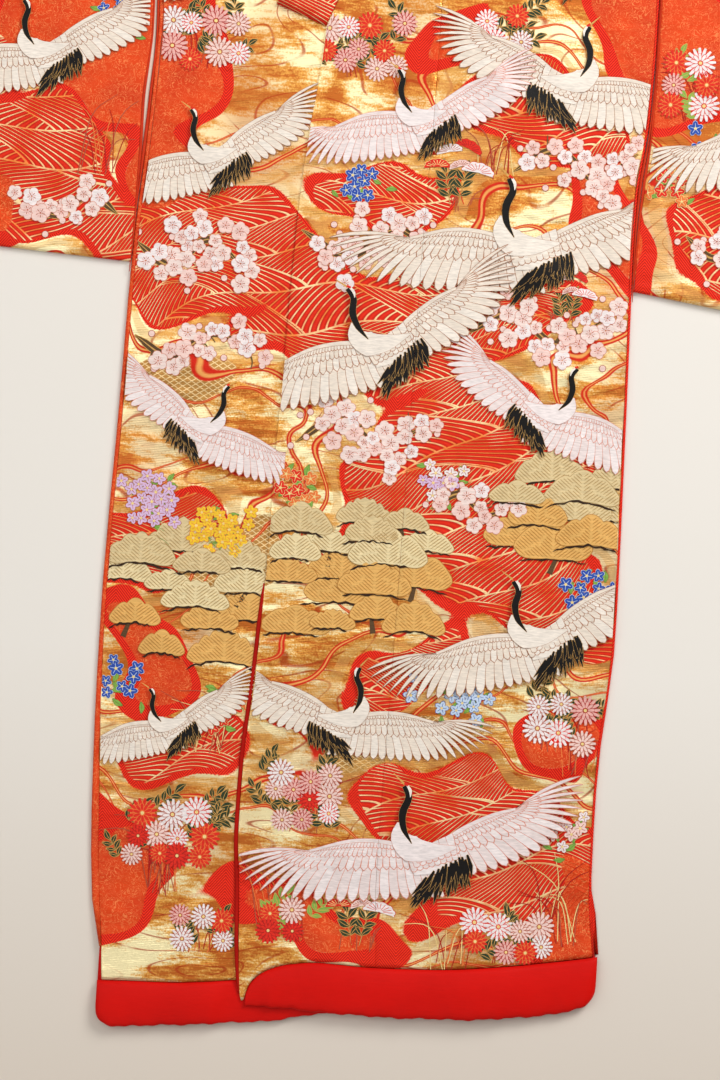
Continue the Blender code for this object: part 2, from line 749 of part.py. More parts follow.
def settle(group):
    """Moves every piece so that the origin is the middle of the box, at its underside."""
    bpy.context.view_layer.update()
    graph = bpy.context.evaluated_depsgraph_get()
    low = np.full(3, np.inf)
    high = np.full(3, -np.inf)
    for made in group.objects:
        shape = made.evaluated_get(graph).to_mesh()
        points = np.array([corner.co for corner in shape.vertices])
        low = np.minimum(low, points.min(axis=0))
        high = np.maximum(high, points.max(axis=0))
        made.evaluated_get(graph).to_mesh_clear()
    offset = -(low + high) / 2
    offset[2] = 0.0
    for made in group.objects:
        for corner in made.data.vertices:
            corner.co.x += offset[0]
            corner.co.y += offset[1]


def main():
    clear_scene()
    group = bpy.data.collections.new("uchikake")
    bpy.context.scene.collection.children.link(group)
    for side in ("left", "right"):
        body_panel(side, group)
        gore(side, group)
        sleeve(side, group)
        sleeve_lining(side, group)
    front_edging(group)
    hem_rolls(group)
    collar(group)
    settle(group)


main()
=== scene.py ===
"""Uchikake wedding kimono laid flat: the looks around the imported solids.

Lengths below are in millimetres of the garment: X to the viewer's right from the centre back,
Y up from the front corner of the left hem, Z up from the surface it lies on. placed() turns
them into metres in the frame.
"""

import math
import random
from functools import partial

import bmesh
import bpy
import numpy as np
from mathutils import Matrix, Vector


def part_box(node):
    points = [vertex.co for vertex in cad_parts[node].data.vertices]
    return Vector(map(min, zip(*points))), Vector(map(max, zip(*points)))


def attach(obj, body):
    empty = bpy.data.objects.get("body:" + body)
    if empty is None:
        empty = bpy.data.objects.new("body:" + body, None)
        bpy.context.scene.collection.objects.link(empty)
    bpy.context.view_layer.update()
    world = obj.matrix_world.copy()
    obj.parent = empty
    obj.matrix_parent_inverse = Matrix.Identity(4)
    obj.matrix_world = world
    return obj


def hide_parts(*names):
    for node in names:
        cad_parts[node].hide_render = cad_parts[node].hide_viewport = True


bl_info = {
    "name": "Uchikake wedding kimono",
    "version": (1, 0, 0),
    "blender": (4, 5, 0),
    "location": "View3D > Sidebar > Uchikake",
    "description": "Builds the brocade, motifs, hem rolls and stage of a flat-laid uchikake",
    "category": "Add Mesh",
}

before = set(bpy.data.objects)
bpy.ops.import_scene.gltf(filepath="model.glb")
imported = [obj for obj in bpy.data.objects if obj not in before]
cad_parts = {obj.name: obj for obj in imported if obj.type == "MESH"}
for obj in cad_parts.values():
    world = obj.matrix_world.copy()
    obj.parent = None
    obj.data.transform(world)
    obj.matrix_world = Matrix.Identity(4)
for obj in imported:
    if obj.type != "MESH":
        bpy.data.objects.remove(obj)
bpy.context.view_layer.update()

MM = 0.001
TOWARD = {"left": 1, "right": -1}
SHOULDER_Y = 1930.0
SHIFT_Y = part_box("sleeve_left")[1].y / MM - SHOULDER_Y

# Driving dimensions, the same as the solids have.
CLOTH = 2.4
COLLAR_THICK = 3.4
SEAM_GAP = 0.3
LAYER = CLOTH + SEAM_GAP
SLEEVE_REACH = 641.0
CUFF_OPENING_Y = 1600.0
SLEEVE_CORNER = 60.0
NECK_HALF = 96.0
NECK_BACK_Y = 1903.0
NECK_SIDE_RISE = 14.0
GORE_POINT_Y = 1600.0
COLLAR_END_Y = 1175.0
COLLAR_WIDE = 65.0
ROLL_BACK_THICK = 6.5
ROLL_FRONT_THICK = 8.0
ROLL_OVER_THICK = 9.0
ROLL_SQUASHED = 3.2
ROLL_CORNER = 19.0
STRIP_TUCK = 5.0
TUCK_TOP = 95.0
TUCK_HIGH = 36.0
ROLL_END_HIGH = 0.62
ROLL_END_THICK = 0.4
EDGING_WIDE = 5.0
EDGING_THICK = 1.8
EDGING_LOW_Y = 14.0
EDGING_HIGH_Y = 505.0
LINING_THICK = 1.2
LINING_WIDE = 24.0
ARMHOLE_Y = 1680.0
HEM_ROW = 60.0
HEM_FADE = 160.0
HEM_GAP = 1.0
SIDE_GAP = 2.0
SLEEVE_LOW = LAYER + LINING_THICK + SEAM_GAP
# The left front lies on the right one up to here, and comes down to the back beside it. The
# right front is flat where it is hidden.
OVER_X = 160.0
OVER_FADE = 80.0
HIDDEN_X = -150.0
HIDDEN_FADE = 25.0
# The fronts rise over the hem rolls from here down, and the left one over the right collar.
LEFT_RISE_Y = 150.0
LEFT_RISE_FADE = 90.0
RIGHT_RISE_Y = 125.0
RIGHT_RISE_FADE = 85.0
COLLAR_UNDER_Y = 1130.0
COLLAR_UNDER_FADE = 50.0
# How far folds may dip into the layer below, and how far from the centre a sleeve's start.
FRONT_DIP = -0.9
SLEEVE_DIP = -0.7
SLEEVE_START = 300.0
# The right roll thins where the left front squashes it, and the left one towards its corner.
SQUASH_X = -165.0
SQUASH_FADE = 32.0
THIN_X = -124.0
THIN_FADE = 40.0
# Widths that the cells are counted from, where the close rows end, and steps round turned cloth.
FRONT_WIDE = 260.0
GORE_WIDE = 140.0
SLEEVE_WIDE = 340.0
FINE_Y = 1230.0
CURL_STEPS = 6
SHOULDER_STEPS = 8
FOLD_STEPS = 6
EDGE_STEPS = 110
RING_STEPS = 24
# Where the back starts to curve in to the neck, and where the gore ends below its point.
BACK_NECK_Y = 1500.0
GORE_TOP_Y = GORE_POINT_Y - 8
# The collar rises off the fronts from here on, and stands upright at the neck.
COLLAR_RISE = 2.2
COLLAR_RISE_Y = 1780.0
COLLAR_STAND_Y = 1740.0
# Waves cover the collar's two ends, up to here.
BAND_WAVES_Y = 1240.0
BAND_WAVES_FADE = 120.0
# The rolled edges of a sleeve's open seam, which are this wide at least and at most on each
# side of it, and the pale line between them on the right.
SLEEVE_PIPING_LOW_Y = 887.0
BODY_PIPING_LOW_Y = 868.0
PIPING_HALF_HIGH = 1.1
PIPING_HALF_WIDE = (1.1, 2.8)
PALE_LINE = 4.0
PALE_LINE_LEAST = 0.4
PALE_LINE_Y = 1005.0
PALE_LINE_FADE = 75.0
LINING_LOW_Y = 905.0
# Where the hem rolls end.
ROLL_RIGHT_X = -298.0
ROLL_LEFT_X = 298.0
ROLL_BACK_X = 296.0
FRONT_CORNER_X = -119.5
TURN_Y = SHOULDER_Y - 30

# Patterns of the weave, in metres: the herringbone's ribs and where they turn, the lattice's
# diamonds from side to side, and the weft ribs.
TWILL_PITCH = 0.0038
TWILL_TURN = 0.019
LATTICE_WIDE = 0.0104
RIB_PITCH = 0.0021

SIDES = {
    "y": (-60, 19, 76, 169, 233, 270, 316, 364, 411, 463, 713, 880, 946, 1005, 1070, 1158,
          1233, 1500, 1700, 1930),
    "right_edge": (-290, -297, -306, -315, -318, -319, -320, -321, -321, -321, -314, -310,
                   -307, -302, -298, -294.5, -297, -300, -300, -300),
    "right_strip": (4.5, 4.5, 9, 9, 9, 8, 7, 6, 5.5, 5, 5, 5, 5, 5, 5, 5, 5, 5, 5, 5),
    "left_edge": (306, 303, 296, 286, 285, 285, 286, 290, 294, 297, 294, 291, 290, 291.5,
                  299.5, 303, 303, 300, 300, 300),
    "left_strip": (3.3,) * 20,
}
SLEEVE_EDGES = {
    "y": (800, 889, 946, 1005, 1070, 1158, 1233, 1400, 1680, 1930),
    "right_x": (-310.5, -311, -309.5, -309, -309, -302, -303, -302.5, -300.6, -300.6),
    "left_x": (293, 293.5, 295, 299, 304, 306, 306, 303, 300.6, 300.6),
}
SLEEVE_HEMS = {
    "x": (280, 310, 400, 470, 641),
    "right_y": (879, 880, 885, 889, 897),
    "left_y": (882, 878, 865, 856, 838),
}
FRONT_EDGE = {
    "y": (-60, 3, 9, 70, 140, 210, 292, 362, 437, 525, 672, 798, 889, 967, 1053, 1098, 1175),
    "x": (-122, -123, -126, -131, -135, -140, -139, -134, -129, -126, -123, -119, -116, -113,
          -106, -100, -94),
}
GORE_SEAM = {
    "y": (-60, 62, 158, 500, 912, 1106, 1400, 1600, 1930),
    "x": (34, 33, 28, 33, 37, 42, 44, 45, 45),
}
COLLAR_SEAM = {
    "y": (1175, 1300, 1450, 1600, 1750, 1860, 1930),
    "x": (-94, -45, 5, 45, 74, 90, 96),
}
LEFT_HEM = {
    "x": (-123.5, -120, -115, -105, -91, -71, -36, 25, 101, 183, 250, 310),
    "top": (6, 17, 28, 39, 47, 53, 57, 55, 57, 65, 75, 86),
    "low": (1, 0.5, 0.2, 0, -0.3, -1, -2, -4, -3, 2, 12, 28),
}
RIGHT_HEM = {
    "x": (-330, -295, -261, -212, -174, -129, -95, -12, 60, 140),
    "top": (20, 20, 21, 22, 25, 30, 33, 44, 47, 48),
    "low": (-36, -35, -33.5, -30, -26, -22, -18, -3, 4, 7),
}
BACK_HEM = {
    "x": (-320, -261, -174, -95, -12, 105, 234, 310),
    "top": (59, 61, 64, 67, 70, 75, 81, 85),
    "low": (-31, -29, -22, -14, 1, 2, 14, 30),
}
HEMS = {"left": LEFT_HEM, "right": RIGHT_HEM}
ROLL_SECTION = {
    "across": (0.07, 0.03, 0.0, 0.003, 0.015, 0.05, 0.10, 0.18, 0.27, 0.39, 0.52, 0.65,
               0.78, 0.9, 1.0, 1.0),
    "up": (0.0, 0.12, 0.32, 0.48, 0.62, 0.77, 0.88, 0.965, 1.0, 1.0, 0.98, 0.89, 0.74, 0.54,
           0.33, 0.0),
}
# Soft folds, then the smaller creases that lie between them. A ridge or trough runs from one
# point to another; rise is its height and spread its half width.
LEFT_FOLDS = {
    "x0": (60, 250, 120, -70, 210, 235, 190, 255, 70, -60),
    "y0": (1180, 1075, 930, 760, 640, 430, 330, 250, 470, 230),
    "x1": (215, 150, 255, 20, 285, 285, 285, 283, 150, 40),
    "y1": (1020, 960, 860, 600, 560, 395, 300, 150, 330, 130),
    "rise": (3.2, 2.6, 2.8, 2.0, 2.4, 3.0, 3.4, 3.0, 1.8, 1.6),
    "spread": (26, 18, 24, 22, 20, 17, 16, 18, 30, 26),
}
RIGHT_FOLDS = {
    "x0": (-290, -280, -170, -295, -200, -280),
    "y0": (1090, 800, 700, 470, 330, 210),
    "x1": (-190, -180, -240, -200, -270, -180),
    "y1": (990, 730, 590, 400, 240, 120),
    "rise": (2.4, 2.6, 2.0, 2.8, 2.4, 2.0),
    "spread": (20, 22, 18, 20, 18, 22),
}
SLEEVE_FOLDS = {
    "x0": (330, 360, 420, 480, 560, 400),
    "y0": (1650, 1180, 1420, 1000, 1300, 1800),
    "x1": (420, 450, 540, 600, 610, 560),
    "y1": (1400, 960, 1180, 930, 1040, 1700),
    "rise": (2.6, 2.8, 2.2, 2.4, 2.6, 2.0),
    "spread": (24, 22, 28, 20, 24, 26),
}
CREASES = {
    "x0": (95, 40, 170, -60, 225, 150, 10, 120, 215, -30, 245, 90, 165, -95, 60, 240,
           -300, -210, -285, -165, -305, -230, -300, -190, -260),
    "y0": (1150, 1090, 1130, 1010, 985, 800, 860, 700, 745, 480, 520, 250, 215, 420, 120, 105,
           1150, 1060, 950, 860, 640, 540, 330, 165, 90),
    "x1": (185, 120, 245, 30, 280, 235, 90, 205, 275, 45, 290, 150, 250, -50, 140, 280,
           -235, -150, -215, -130, -245, -175, -250, -140, -200),
    "y1": (1118, 1046, 1120, 975, 930, 778, 822, 655, 700, 430, 470, 215, 240, 330, 95, 140,
           1105, 1080, 905, 800, 615, 560, 300, 190, 75),
    "rise": (-1.1, 1.2, 0.9, -0.8, 1.3, 1.1, -0.9, 1.0, -1.2, 0.8, 1.4, -0.9, 1.0, 0.7, 0.8,
             -1.0, 1.2, -0.9, 1.1, 0.8, 1.3, -0.8, 1.1, -0.9, 0.8),
    "spread": (15, 12, 11, 16, 12, 13, 17, 12, 14, 15, 11, 14, 13, 15, 12, 13,
               13, 15, 12, 14, 12, 15, 13, 14, 12),
}
NECK_TURN = {
    "step": (0, 1, 2, 3, 4, 5),
    "x": (93.0, 91.5, 84.0, 64.0, 34.0, 0.0),
    "y": (1906.0, 1922.0, 1929.0, 1923.0, 1912.0, 1907.0),
    "z": (8.6, 8.4, 6.6, 4.6, 3.6, 3.3),
    "lean_x": (-50, -38, -26, -13, -5, 0),
    "lean_y": (22, 32, 41, 50, 55, 57),
    "lean_z": (34, 41, 43, 39, 34, 31),
}

# Grounds of the brocade, as soft-edged ovals that run together: centre, half width, half
# height and turn in degrees.
WATER = {
    "x": (-228, 170, 20, 95, 205, -262, -205, 40, 200, 130, -440, -560, 455, 570, 15, -400,
          490, -170, -520, 170, 60, 470),
    "y": (905, 1075, 830, 640, 520, 560, 300, 420, 175, 240, 975, 1110, 960, 1120, 985, 1500,
          1440, 1600, 1770, 1800, 1420, 1820),
    "wide": (128, 122, 200, 160, 110, 84, 96, 104, 150, 130, 130, 90, 130, 94, 96, 110,
             150, 120, 120, 130, 90, 110),
    "high": (82, 56, 78, 116, 66, 54, 32, 36, 80, 56, 90, 76, 84, 80, 40, 90,
             84, 66, 56, 50, 44, 48),
    "turn": (8, -24, 6, 14, -18, 20, -12, 24, 14, -20, -14, 24, 16, -28, 10, 12,
             12, -14, 8, -10, 14, -8),
}
PATCH = {
    "x": (-360, -262, 330, 268, 262, -296, -60, -268, 236, 60, 350, -350, -300, -500,
          570, -580, -250, 250),
    "y": (1140, 1010, 1180, 975, 120, 150, 108, 420, 335, 1180, 1500, 1560, 1215, 940,
          1640, 1340, 1830, 1660),
    "wide": (130, 40, 86, 30, 40, 42, 96, 34, 44, 44, 80, 90, 70, 60, 80, 70, 90, 56),
    "high": (92, 50, 84, 60, 96, 78, 22, 60, 36, 26, 110, 120, 40, 40, 50, 60, 40, 50),
    "turn": (-12, 18, 14, 8, 6, -8, -8, 12, -24, 14, 8, -8, 10, -14, 10, 8, -6, 12),
}
LATTICE = {
    "x": (-150, 20, -215, 120, 470),
    "y": (515, 330, 760, 1130, 1240),
    "wide": (62, 84, 52, 60, 70),
    "high": (46, 26, 30, 24, 44),
    "turn": (12, 10, -14, -10, 16),
}


def along(table, column, at, key="y"):
    """A column of a table at one place or many, on a curve that never overshoots its rows."""
    places = np.array(table[key], float)
    values = np.array(table[column], float)
    spans = np.diff(places)
    slopes = np.diff(values) / spans
    tangents = np.empty(len(values))
    tangents[0], tangents[-1] = slopes[0], slopes[-1]
    before, after = slopes[:-1], slopes[1:]
    total = np.where(before + after == 0, 1, before + after)
    tangents[1:-1] = np.where(before * after <= 0, 0, 2 * before * after / total)
    at = np.clip(np.asarray(at, float), places[0], places[-1])
    i = np.clip(np.searchsorted(places, at, side="right") - 1, 0, len(spans) - 1)
    t = (at - places[i]) / spans[i]
    return (
        (2 * t**3 - 3 * t**2 + 1) * values[i]
        + (t**3 - 2 * t**2 + t) * spans[i] * tangents[i]
        + (3 * t**2 - 2 * t**3) * values[i + 1]
        + (t**3 - t**2) * spans[i] * tangents[i + 1]
    )


def smooth(t):
    t = np.clip(t, 0.0, 1.0)
    return t * t * (3 - 2 * t)


def fold_rise(table, x, y):
    rise = 0.0
    for x0, y0, x1, y1, high, spread in zip(*(table[k] for k in table)):
        run = (x1 - x0, y1 - y0)
        t = np.clip(((x - x0) * run[0] + (y - y0) * run[1]) / (run[0] ** 2 + run[1] ** 2), 0, 1)
        away = np.hypot(x - x0 - t * run[0], y - y0 - t * run[1])
        rise = rise + high * np.sin(math.pi * (0.12 + 0.76 * t)) * np.exp(-((away / spread) ** 2))
    return rise


def crumple(x, y):
    """Low ripples that run mostly across the garment, uneven in spacing and depth."""
    drift = 34 * np.sin(x / 71 + 0.6) + 19 * np.sin(x / 37 + y / 210)
    first = np.sin((y + drift) / 11.5 + 1.7 * np.sin(y / 83 + x / 140))
    second = np.sin((y - 0.6 * drift + 0.35 * x) / 17.0 + 2.1 * np.sin(x / 95 - y / 130))
    third = np.sin(x / 21 + 1.4 * np.sin(y / 57)) * np.sin(y / 29 + x / 60)
    depth = 0.55 + 0.45 * np.sin(x / 118 + y / 163 + 1.0) * np.sin(y / 97 - 0.4)
    return depth * (0.34 * first + 0.26 * second + 0.16 * third)


def centre_x(y):
    return (along(SIDES, "right_edge", y) + along(SIDES, "left_edge", y)) / 2


def side_seam(side, y):
    return along(SIDES, side + "_edge", y) - TOWARD[side] * along(SIDES, side + "_strip", y)


def over_share(x):
    """1 where the left front lies on the right front, 0 where it lies on the back."""
    return 1 - smooth((x - OVER_X) / OVER_FADE)


def left_base(x, y):
    """Underside of the left front: over the right front, its collar and its hem roll."""
    share = over_share(x)
    collar_room = (COLLAR_THICK - CLOTH) * smooth((y - COLLAR_UNDER_Y) / COLLAR_UNDER_FADE)
    roll_room = ROLL_BACK_THICK - CLOTH + (ROLL_SQUASHED - CLOTH + SEAM_GAP) * share
    rise = smooth((LEFT_RISE_Y - y) / LEFT_RISE_FADE)
    return LAYER + share * (LAYER + collar_room) + rise * roll_room


def right_base(y):
    return LAYER + smooth((RIGHT_RISE_Y - y) / RIGHT_RISE_FADE) * (ROLL_BACK_THICK - CLOTH)


def front_form(folds, x, y):
    """The folds, creases and ripples of a front."""
    return np.maximum(fold_rise(folds, x, y) + fold_rise(CREASES, x, y) + crumple(x, y),
                      FRONT_DIP)


def left_front(x, y):
    """Middle of the left front's wall."""
    return left_base(x, y) + CLOTH / 2 + front_form(LEFT_FOLDS, x, y)


def right_front(x, y):
    hidden = smooth((x - HIDDEN_X) / HIDDEN_FADE)
    return right_base(y) + CLOTH / 2 + front_form(RIGHT_FOLDS, x, y) * (1 - hidden)


def sleeve_front(x, y):
    out = np.abs(x)
    form = fold_rise(SLEEVE_FOLDS, out, y) + crumple(x, y) * 1.2
    return (SLEEVE_LOW + CLOTH / 2
            + np.maximum(form, SLEEVE_DIP) * smooth((out - SLEEVE_START) / 40))


FRONT_LAY = {"left": left_front, "right": right_front}


def mirrored(table, y):
    """A line of the left front, carried across the centre back to the right front."""
    return 2 * centre_x(y) - along(table, "x", y)


def zone(table, x, y):
    """How far inside a ground a point is, in millimetres; below 0 it is outside."""
    wx = x + 22 * np.sin(y / 38 + 0.7) + 10 * np.sin(y / 16 + x / 37)
    wy = y + 18 * np.sin(x / 46 + 1.1) + 8 * np.sin(x / 17 - y / 31)
    total = 0.0
    soft = 9.0
    for cx, cy, wide, high, turn in zip(*(table[k] for k in table)):
        c, s = math.cos(math.radians(turn)), math.sin(math.radians(turn))
        u = ((wx - cx) * c + (wy - cy) * s) / wide
        v = ((wy - cy) * c - (wx - cx) * s) / high
        inside = (1 - np.sqrt(u * u + v * v)) * min(wide, high)
        total = total + np.exp(np.clip(inside, -160, 160) / soft)
    return soft * np.log(total)


def placed(points):
    """Garment millimetres to metres in the frame."""
    out = np.array(points, float)
    out[..., 1] += SHIFT_Y
    return out * MM


def hex_colour(text):
    """An sRGB hex colour as linear RGBA."""
    channels = [int(text[k : k + 2], 16) / 255 for k in (0, 2, 4)]
    linear = [c / 12.92 if c <= 0.04045 else ((c + 0.055) / 1.055) ** 2.4 for c in channels]
    return (*linear, 1.0)


def set_inputs(made, inputs):
    """Gives a node's inputs their numbers, sRGB hex colours or the sockets that feed them."""
    for name, given in inputs.items():
        if isinstance(given, bpy.types.NodeSocket):
            made.id_data.links.new(given, made.inputs[name])
        else:
            made.inputs[name].default_value = (
                hex_colour(given) if isinstance(given, str) else given)


def add_node(tree, kind, inputs=(), out=0, **settings):
    """Adds a node with its settings and links. Gives its output out, or all where that is None."""
    made = tree.nodes.new("ShaderNode" + kind)
    for name, setting in settings.items():
        setattr(made, name, setting)
    set_inputs(made, inputs if isinstance(inputs, dict) else dict(enumerate(inputs)))
    return made.outputs if out is None else made.outputs[out]


def new_material(name, grains):
    """A material, what adds its nodes, its shader, the place on the garment and its grains. A
    grain is noise about 0.5: its scale, or one for each axis, its detail and its distortion."""
    made = bpy.data.materials.new(name)
    made.use_nodes = True
    node = partial(add_node, made.node_tree)
    spot = node("TexCoord", out="Object")
    grain = {}
    for trace, (scale, detail, distortion) in grains.items():
        place = spot
        if isinstance(scale, tuple):
            place, scale = node("Mapping", {0: spot, "Scale": scale}), 1.0
        grain[trace] = node("TexNoise", {
            0: place, "Scale": scale, "Detail": detail, "Distortion": distortion})
    return made, node, made.node_tree.nodes["Principled BSDF"], spot, grain


def layered(node, colour, *layers):
    """A colour under layers of others, each laid on by its share."""
    for share, over in layers:
        colour = node("Mix", {0: share, 6: colour, 7: over}, 2, data_type="RGBA")
    return colour


def wave_lines(node, look, across, up):
    """How far a point is from the nearest hatch line of the waves, and where their crests are.
    The waves lie in bands between long crests, hatched one way and then the other."""
    high, long = look.wave_band, look.wave_long
    band = node("Math", (up, 1 / high), operation="MULTIPLY")
    part = node("Math", (band,), operation="FRACT")
    chance = node("TexWhiteNoise", {"W": node("Math", (band,), operation="FLOOR")},
                  noise_dimensions="1D")
    slope = node("Math", (chance, 0.9 * high, 1.5 * high), operation="MULTIPLY_ADD")
    slant = node("Math", (part, 1.35), operation="POWER")
    slant = node("Math", (slant, slope), operation="MULTIPLY")
    rising = node("Math", (across, slant), operation="ADD")
    falling = node("Math", (across, slant), operation="SUBTRACT")
    wedge = node("Math", (chance, 700.0, rising), operation="MULTIPLY_ADD")
    wedge = node("Math", (wedge, 1 / long), operation="MULTIPLY")
    side = node("Math", (wedge,), operation="FLOOR")
    side = node("Math", (side, 1.0), operation="PINGPONG")
    hatch = node("Mix", {0: side, 2: rising, 3: falling})
    hatch = node("Math", (hatch, look.wave_hatch), operation="PINGPONG")
    crest = node("Math", (up, high / 2), operation="PINGPONG")
    tips = node("Math", (wedge, 0.5), operation="PINGPONG")
    crests = (node("MapRange", (crest, 1.1, 0.6)),
              node("MapRange", (tips, 2.0 / long, 1.1 / long)))
    return hatch, node("Math", crests, operation="MAXIMUM")


def brocade_material(name, look):
    """Gold-foil brocade with red wave grounds: the foil's colour carries painted highlights and
    painted shade in broad liquid shapes and flat wrinkle shapes, over its own uneven tone, with a
    fine pebbled grain; the red silk between stays soft and saturated."""
    made, node, shader, spot, grain = new_material(name, {
        "step": (420.0, 1.0, 0.0), "drift": (9.0, 2.0, 0.0),
        # Broad liquid shapes and flat wrinkle shapes of painted highlight and painted shade in the
        # foil's colour, weft streaks 3 mm high and a fine grain.
        # The streaks and the grain are coarser than the real ones.
        "pools": ((9.0, 15.0, 10.0), 1.3, 0.9), "wrinkles": ((6.0, 38.0, 10.0), 2.6, 0.7),
        "streaks": ((75.0, 330.0, 75.0), 1.0, 0.0), "grain": (480.0, 1.0, 0.0),
        "stream": ((4.0, 9.0, 6.0), 1.5, 0.5), "stream_breaks": (18.0, 1.0, 0.0),
        "copper": (5.0, 1.0, 0.4), "line_tone": (26.0, 2.0, 0.0),
        "curls": (135.0, 1.0, 0.8), "curl_breaks": (90.0, 1.0, 0.0), "mottle": (16.0, 2.0, 0.0),
        "ripples": ((13.0, 58.0, 20.0), 0.6, 0.5), "dents": ((24.0, 38.0, 20.0), 1.0, 0.8),
    })
    grounds = node("Attribute", out="Vector", attribute_name="grounds")
    flow = node("Attribute", out="Vector", attribute_name="flow")
    water_depth, patch_depth, lattice_depth = node("SeparateXYZ", (grounds,), None)
    across, up, _ = node("SeparateXYZ", (flow,), None)
    x, y, _ = node("SeparateXYZ", (spot,), None)

    # The woven steps along every edge of colour, 1.2 mm deep.
    step = node("Math", (grain["step"], 2.4, -1.2), operation="MULTIPLY_ADD")
    water, patch, lattice = (
        node("MapRange", (node("Math", (depth, step), operation="ADD"), -0.5, 0.5))
        for depth in (water_depth, patch_depth, lattice_depth))

    def contour(depth, offset, wander, half):
        """1 within half of a line that keeps an offset from a ground's edge, and wanders."""
        moved = (grain["drift"], wander, offset - wander / 2)
        moved = node("Math", moved, operation="MULTIPLY_ADD")
        away = node("Math", (depth, moved), operation="ADD")
        away = node("Math", (away,), operation="ABSOLUTE")
        return node("MapRange", (away, half + 0.35, half - 0.35))

    # Herringbone: dark ribs on the plain red bands, coarser than the real ones.
    lean = node("Math", (x, TWILL_TURN), operation="PINGPONG")
    twill = node("Math", (lean, 1.2, y), operation="MULTIPLY_ADD")
    twill = node("Math", (twill, TWILL_PITCH / 2), operation="PINGPONG")
    plain_red = layered(node, "B0110A", (node("MapRange", (twill, 0.0003, 0.0013)), "F03014"))

    # Gold: the foil's own tone, with painted shade in the deep foil and painted highlights in the
    # pale foil, and copper areas.
    pools = node("Math", (grain["pools"], 0.5), operation="MULTIPLY")
    broad = node("Math", (grain["wrinkles"], 0.5, pools), operation="MULTIPLY_ADD")
    tone = node("Math", (grain["grain"], 0.16, -0.18), operation="MULTIPLY_ADD")
    tone = node("Math", (grain["streaks"], 0.20, tone), operation="MULTIPLY_ADD")
    # This ramp paints the light and shade of the foil's wrinkles into its colour.
    foil = node("ValToRGB", (node("Math", (broad, tone), operation="ADD"),))
    ramp = foil.node.color_ramp
    ramp.elements[0].position, ramp.elements[0].color = 0.41, hex_colour(look.deep_gold)
    ramp.elements[1].position, ramp.elements[1].color = 0.57, hex_colour(look.pale_gold)
    ramp.elements.new(0.49).color = hex_colour(look.mid_gold)
    copper = node("MapRange", (grain["copper"], 0.47, 0.66, 0.0, 0.62))

    # Thin currents drawn over the gold, like the contours of a slow stream.
    stream = node("Math", (grain["stream"], 15.0), operation="MULTIPLY")
    stream = node("Math", (stream, 0.5), operation="PINGPONG")
    currents = (node("MapRange", (stream, 0.075, 0.025)),
                node("MapRange", (grain["stream_breaks"], 0.42, 0.50, 0.15, 0.8)))
    currents = node("Math", currents, operation="MULTIPLY")

    # A diamond lattice.
    diamonds = []
    for slant in (1.55, -1.55):
        line = node("Math", (y, slant, x), operation="MULTIPLY_ADD")
        line = node("Math", (line, LATTICE_WIDE / 2), operation="PINGPONG")
        diamonds.append(node("MapRange", (line, 0.0013, 0.0006)))
    diamonds = layered(node, "B98545", (node("Math", diamonds, operation="MAXIMUM"), "EBCB93"))

    # Red lines that follow the shores, and the twill bands round the orange grounds.
    lines, cores = (
        node("Math", (contour(water_depth, 19.0, 30.0, near),
                      contour(water_depth, 40.0, 52.0, far)), operation="MAXIMUM")
        for near, far in ((2.3, 1.5), (0.7, 0.3)))
    bank = node("Math", (contour(water_depth, 7.0, 10.0, 4.5), 0.5), operation="MULTIPLY")
    band = contour(patch_depth, 6.0, 5.0, 6.5)

    # Waves: thin lines, pale here and orange there, over red with painted shade that darkens it
    # towards each line.
    hatch, crest = wave_lines(node, look, across, up)
    shore = contour(water_depth, 4.0, -26.0, 9.0)
    strokes = node("Math", (node("MapRange", (hatch, 1.5, 0.75)), crest), operation="MAXIMUM")
    strokes = node("Math", (strokes, node("Math", (1.0, shore), operation="SUBTRACT")),
                   operation="MULTIPLY")
    line_tone = node("MapRange", (grain["line_tone"], 0.38, 0.60))
    # B4120A is painted shade, deepest next to each hatch line.
    red = layered(node, "B4120A", (node("MapRange", (hatch, 0.8, 4.6)), look.wave_red),
                  (shore, plain_red),
                  (strokes, layered(node, "E8813C", (line_tone, look.wave_line))))

    # Orange: a thin curling branch pattern, hardly paler than its ground.
    curls = node("Math", (grain["curls"], 6.0), operation="MULTIPLY")
    curls = node("Math", (curls, 0.5), operation="PINGPONG")
    curls = (node("MapRange", (curls, 0.19, 0.06)),
             node("MapRange", (grain["curl_breaks"], 0.36, 0.60, 0.25, 0.62)))
    orange = layered(node, look.orange,
                     (node("MapRange", (grain["mottle"], 0.36, 0.64)), "CE3A14"),
                     (node("Math", curls, operation="MULTIPLY"), "F29052"))
    colour = layered(
        node, foil, (copper, "BA6428"), (currents, "AE3A14"), (lattice, diamonds),
        (bank, "D9A45C"), (lines, "CC240E"), (cores, "E9A055"), (band, plain_red), (water, red),
        (patch, orange))

    # Foil shows wherever neither red silk nor orange covers it, and faintly on the wave lines.
    covered = node("Math", (node("Math", (lines, band), operation="MAXIMUM"),
                            node("Math", (water, patch), operation="MAXIMUM")),
                   operation="MAXIMUM")
    threads = node("Math", (strokes, water), operation="MULTIPLY")
    glints = node("Math", (threads, 0.35), operation="MULTIPLY")
    metal = node("Math", (node("MapRange", (covered, 0.0, 1.0, 0.5, 0.0)), glints),
                 operation="MAXIMUM")

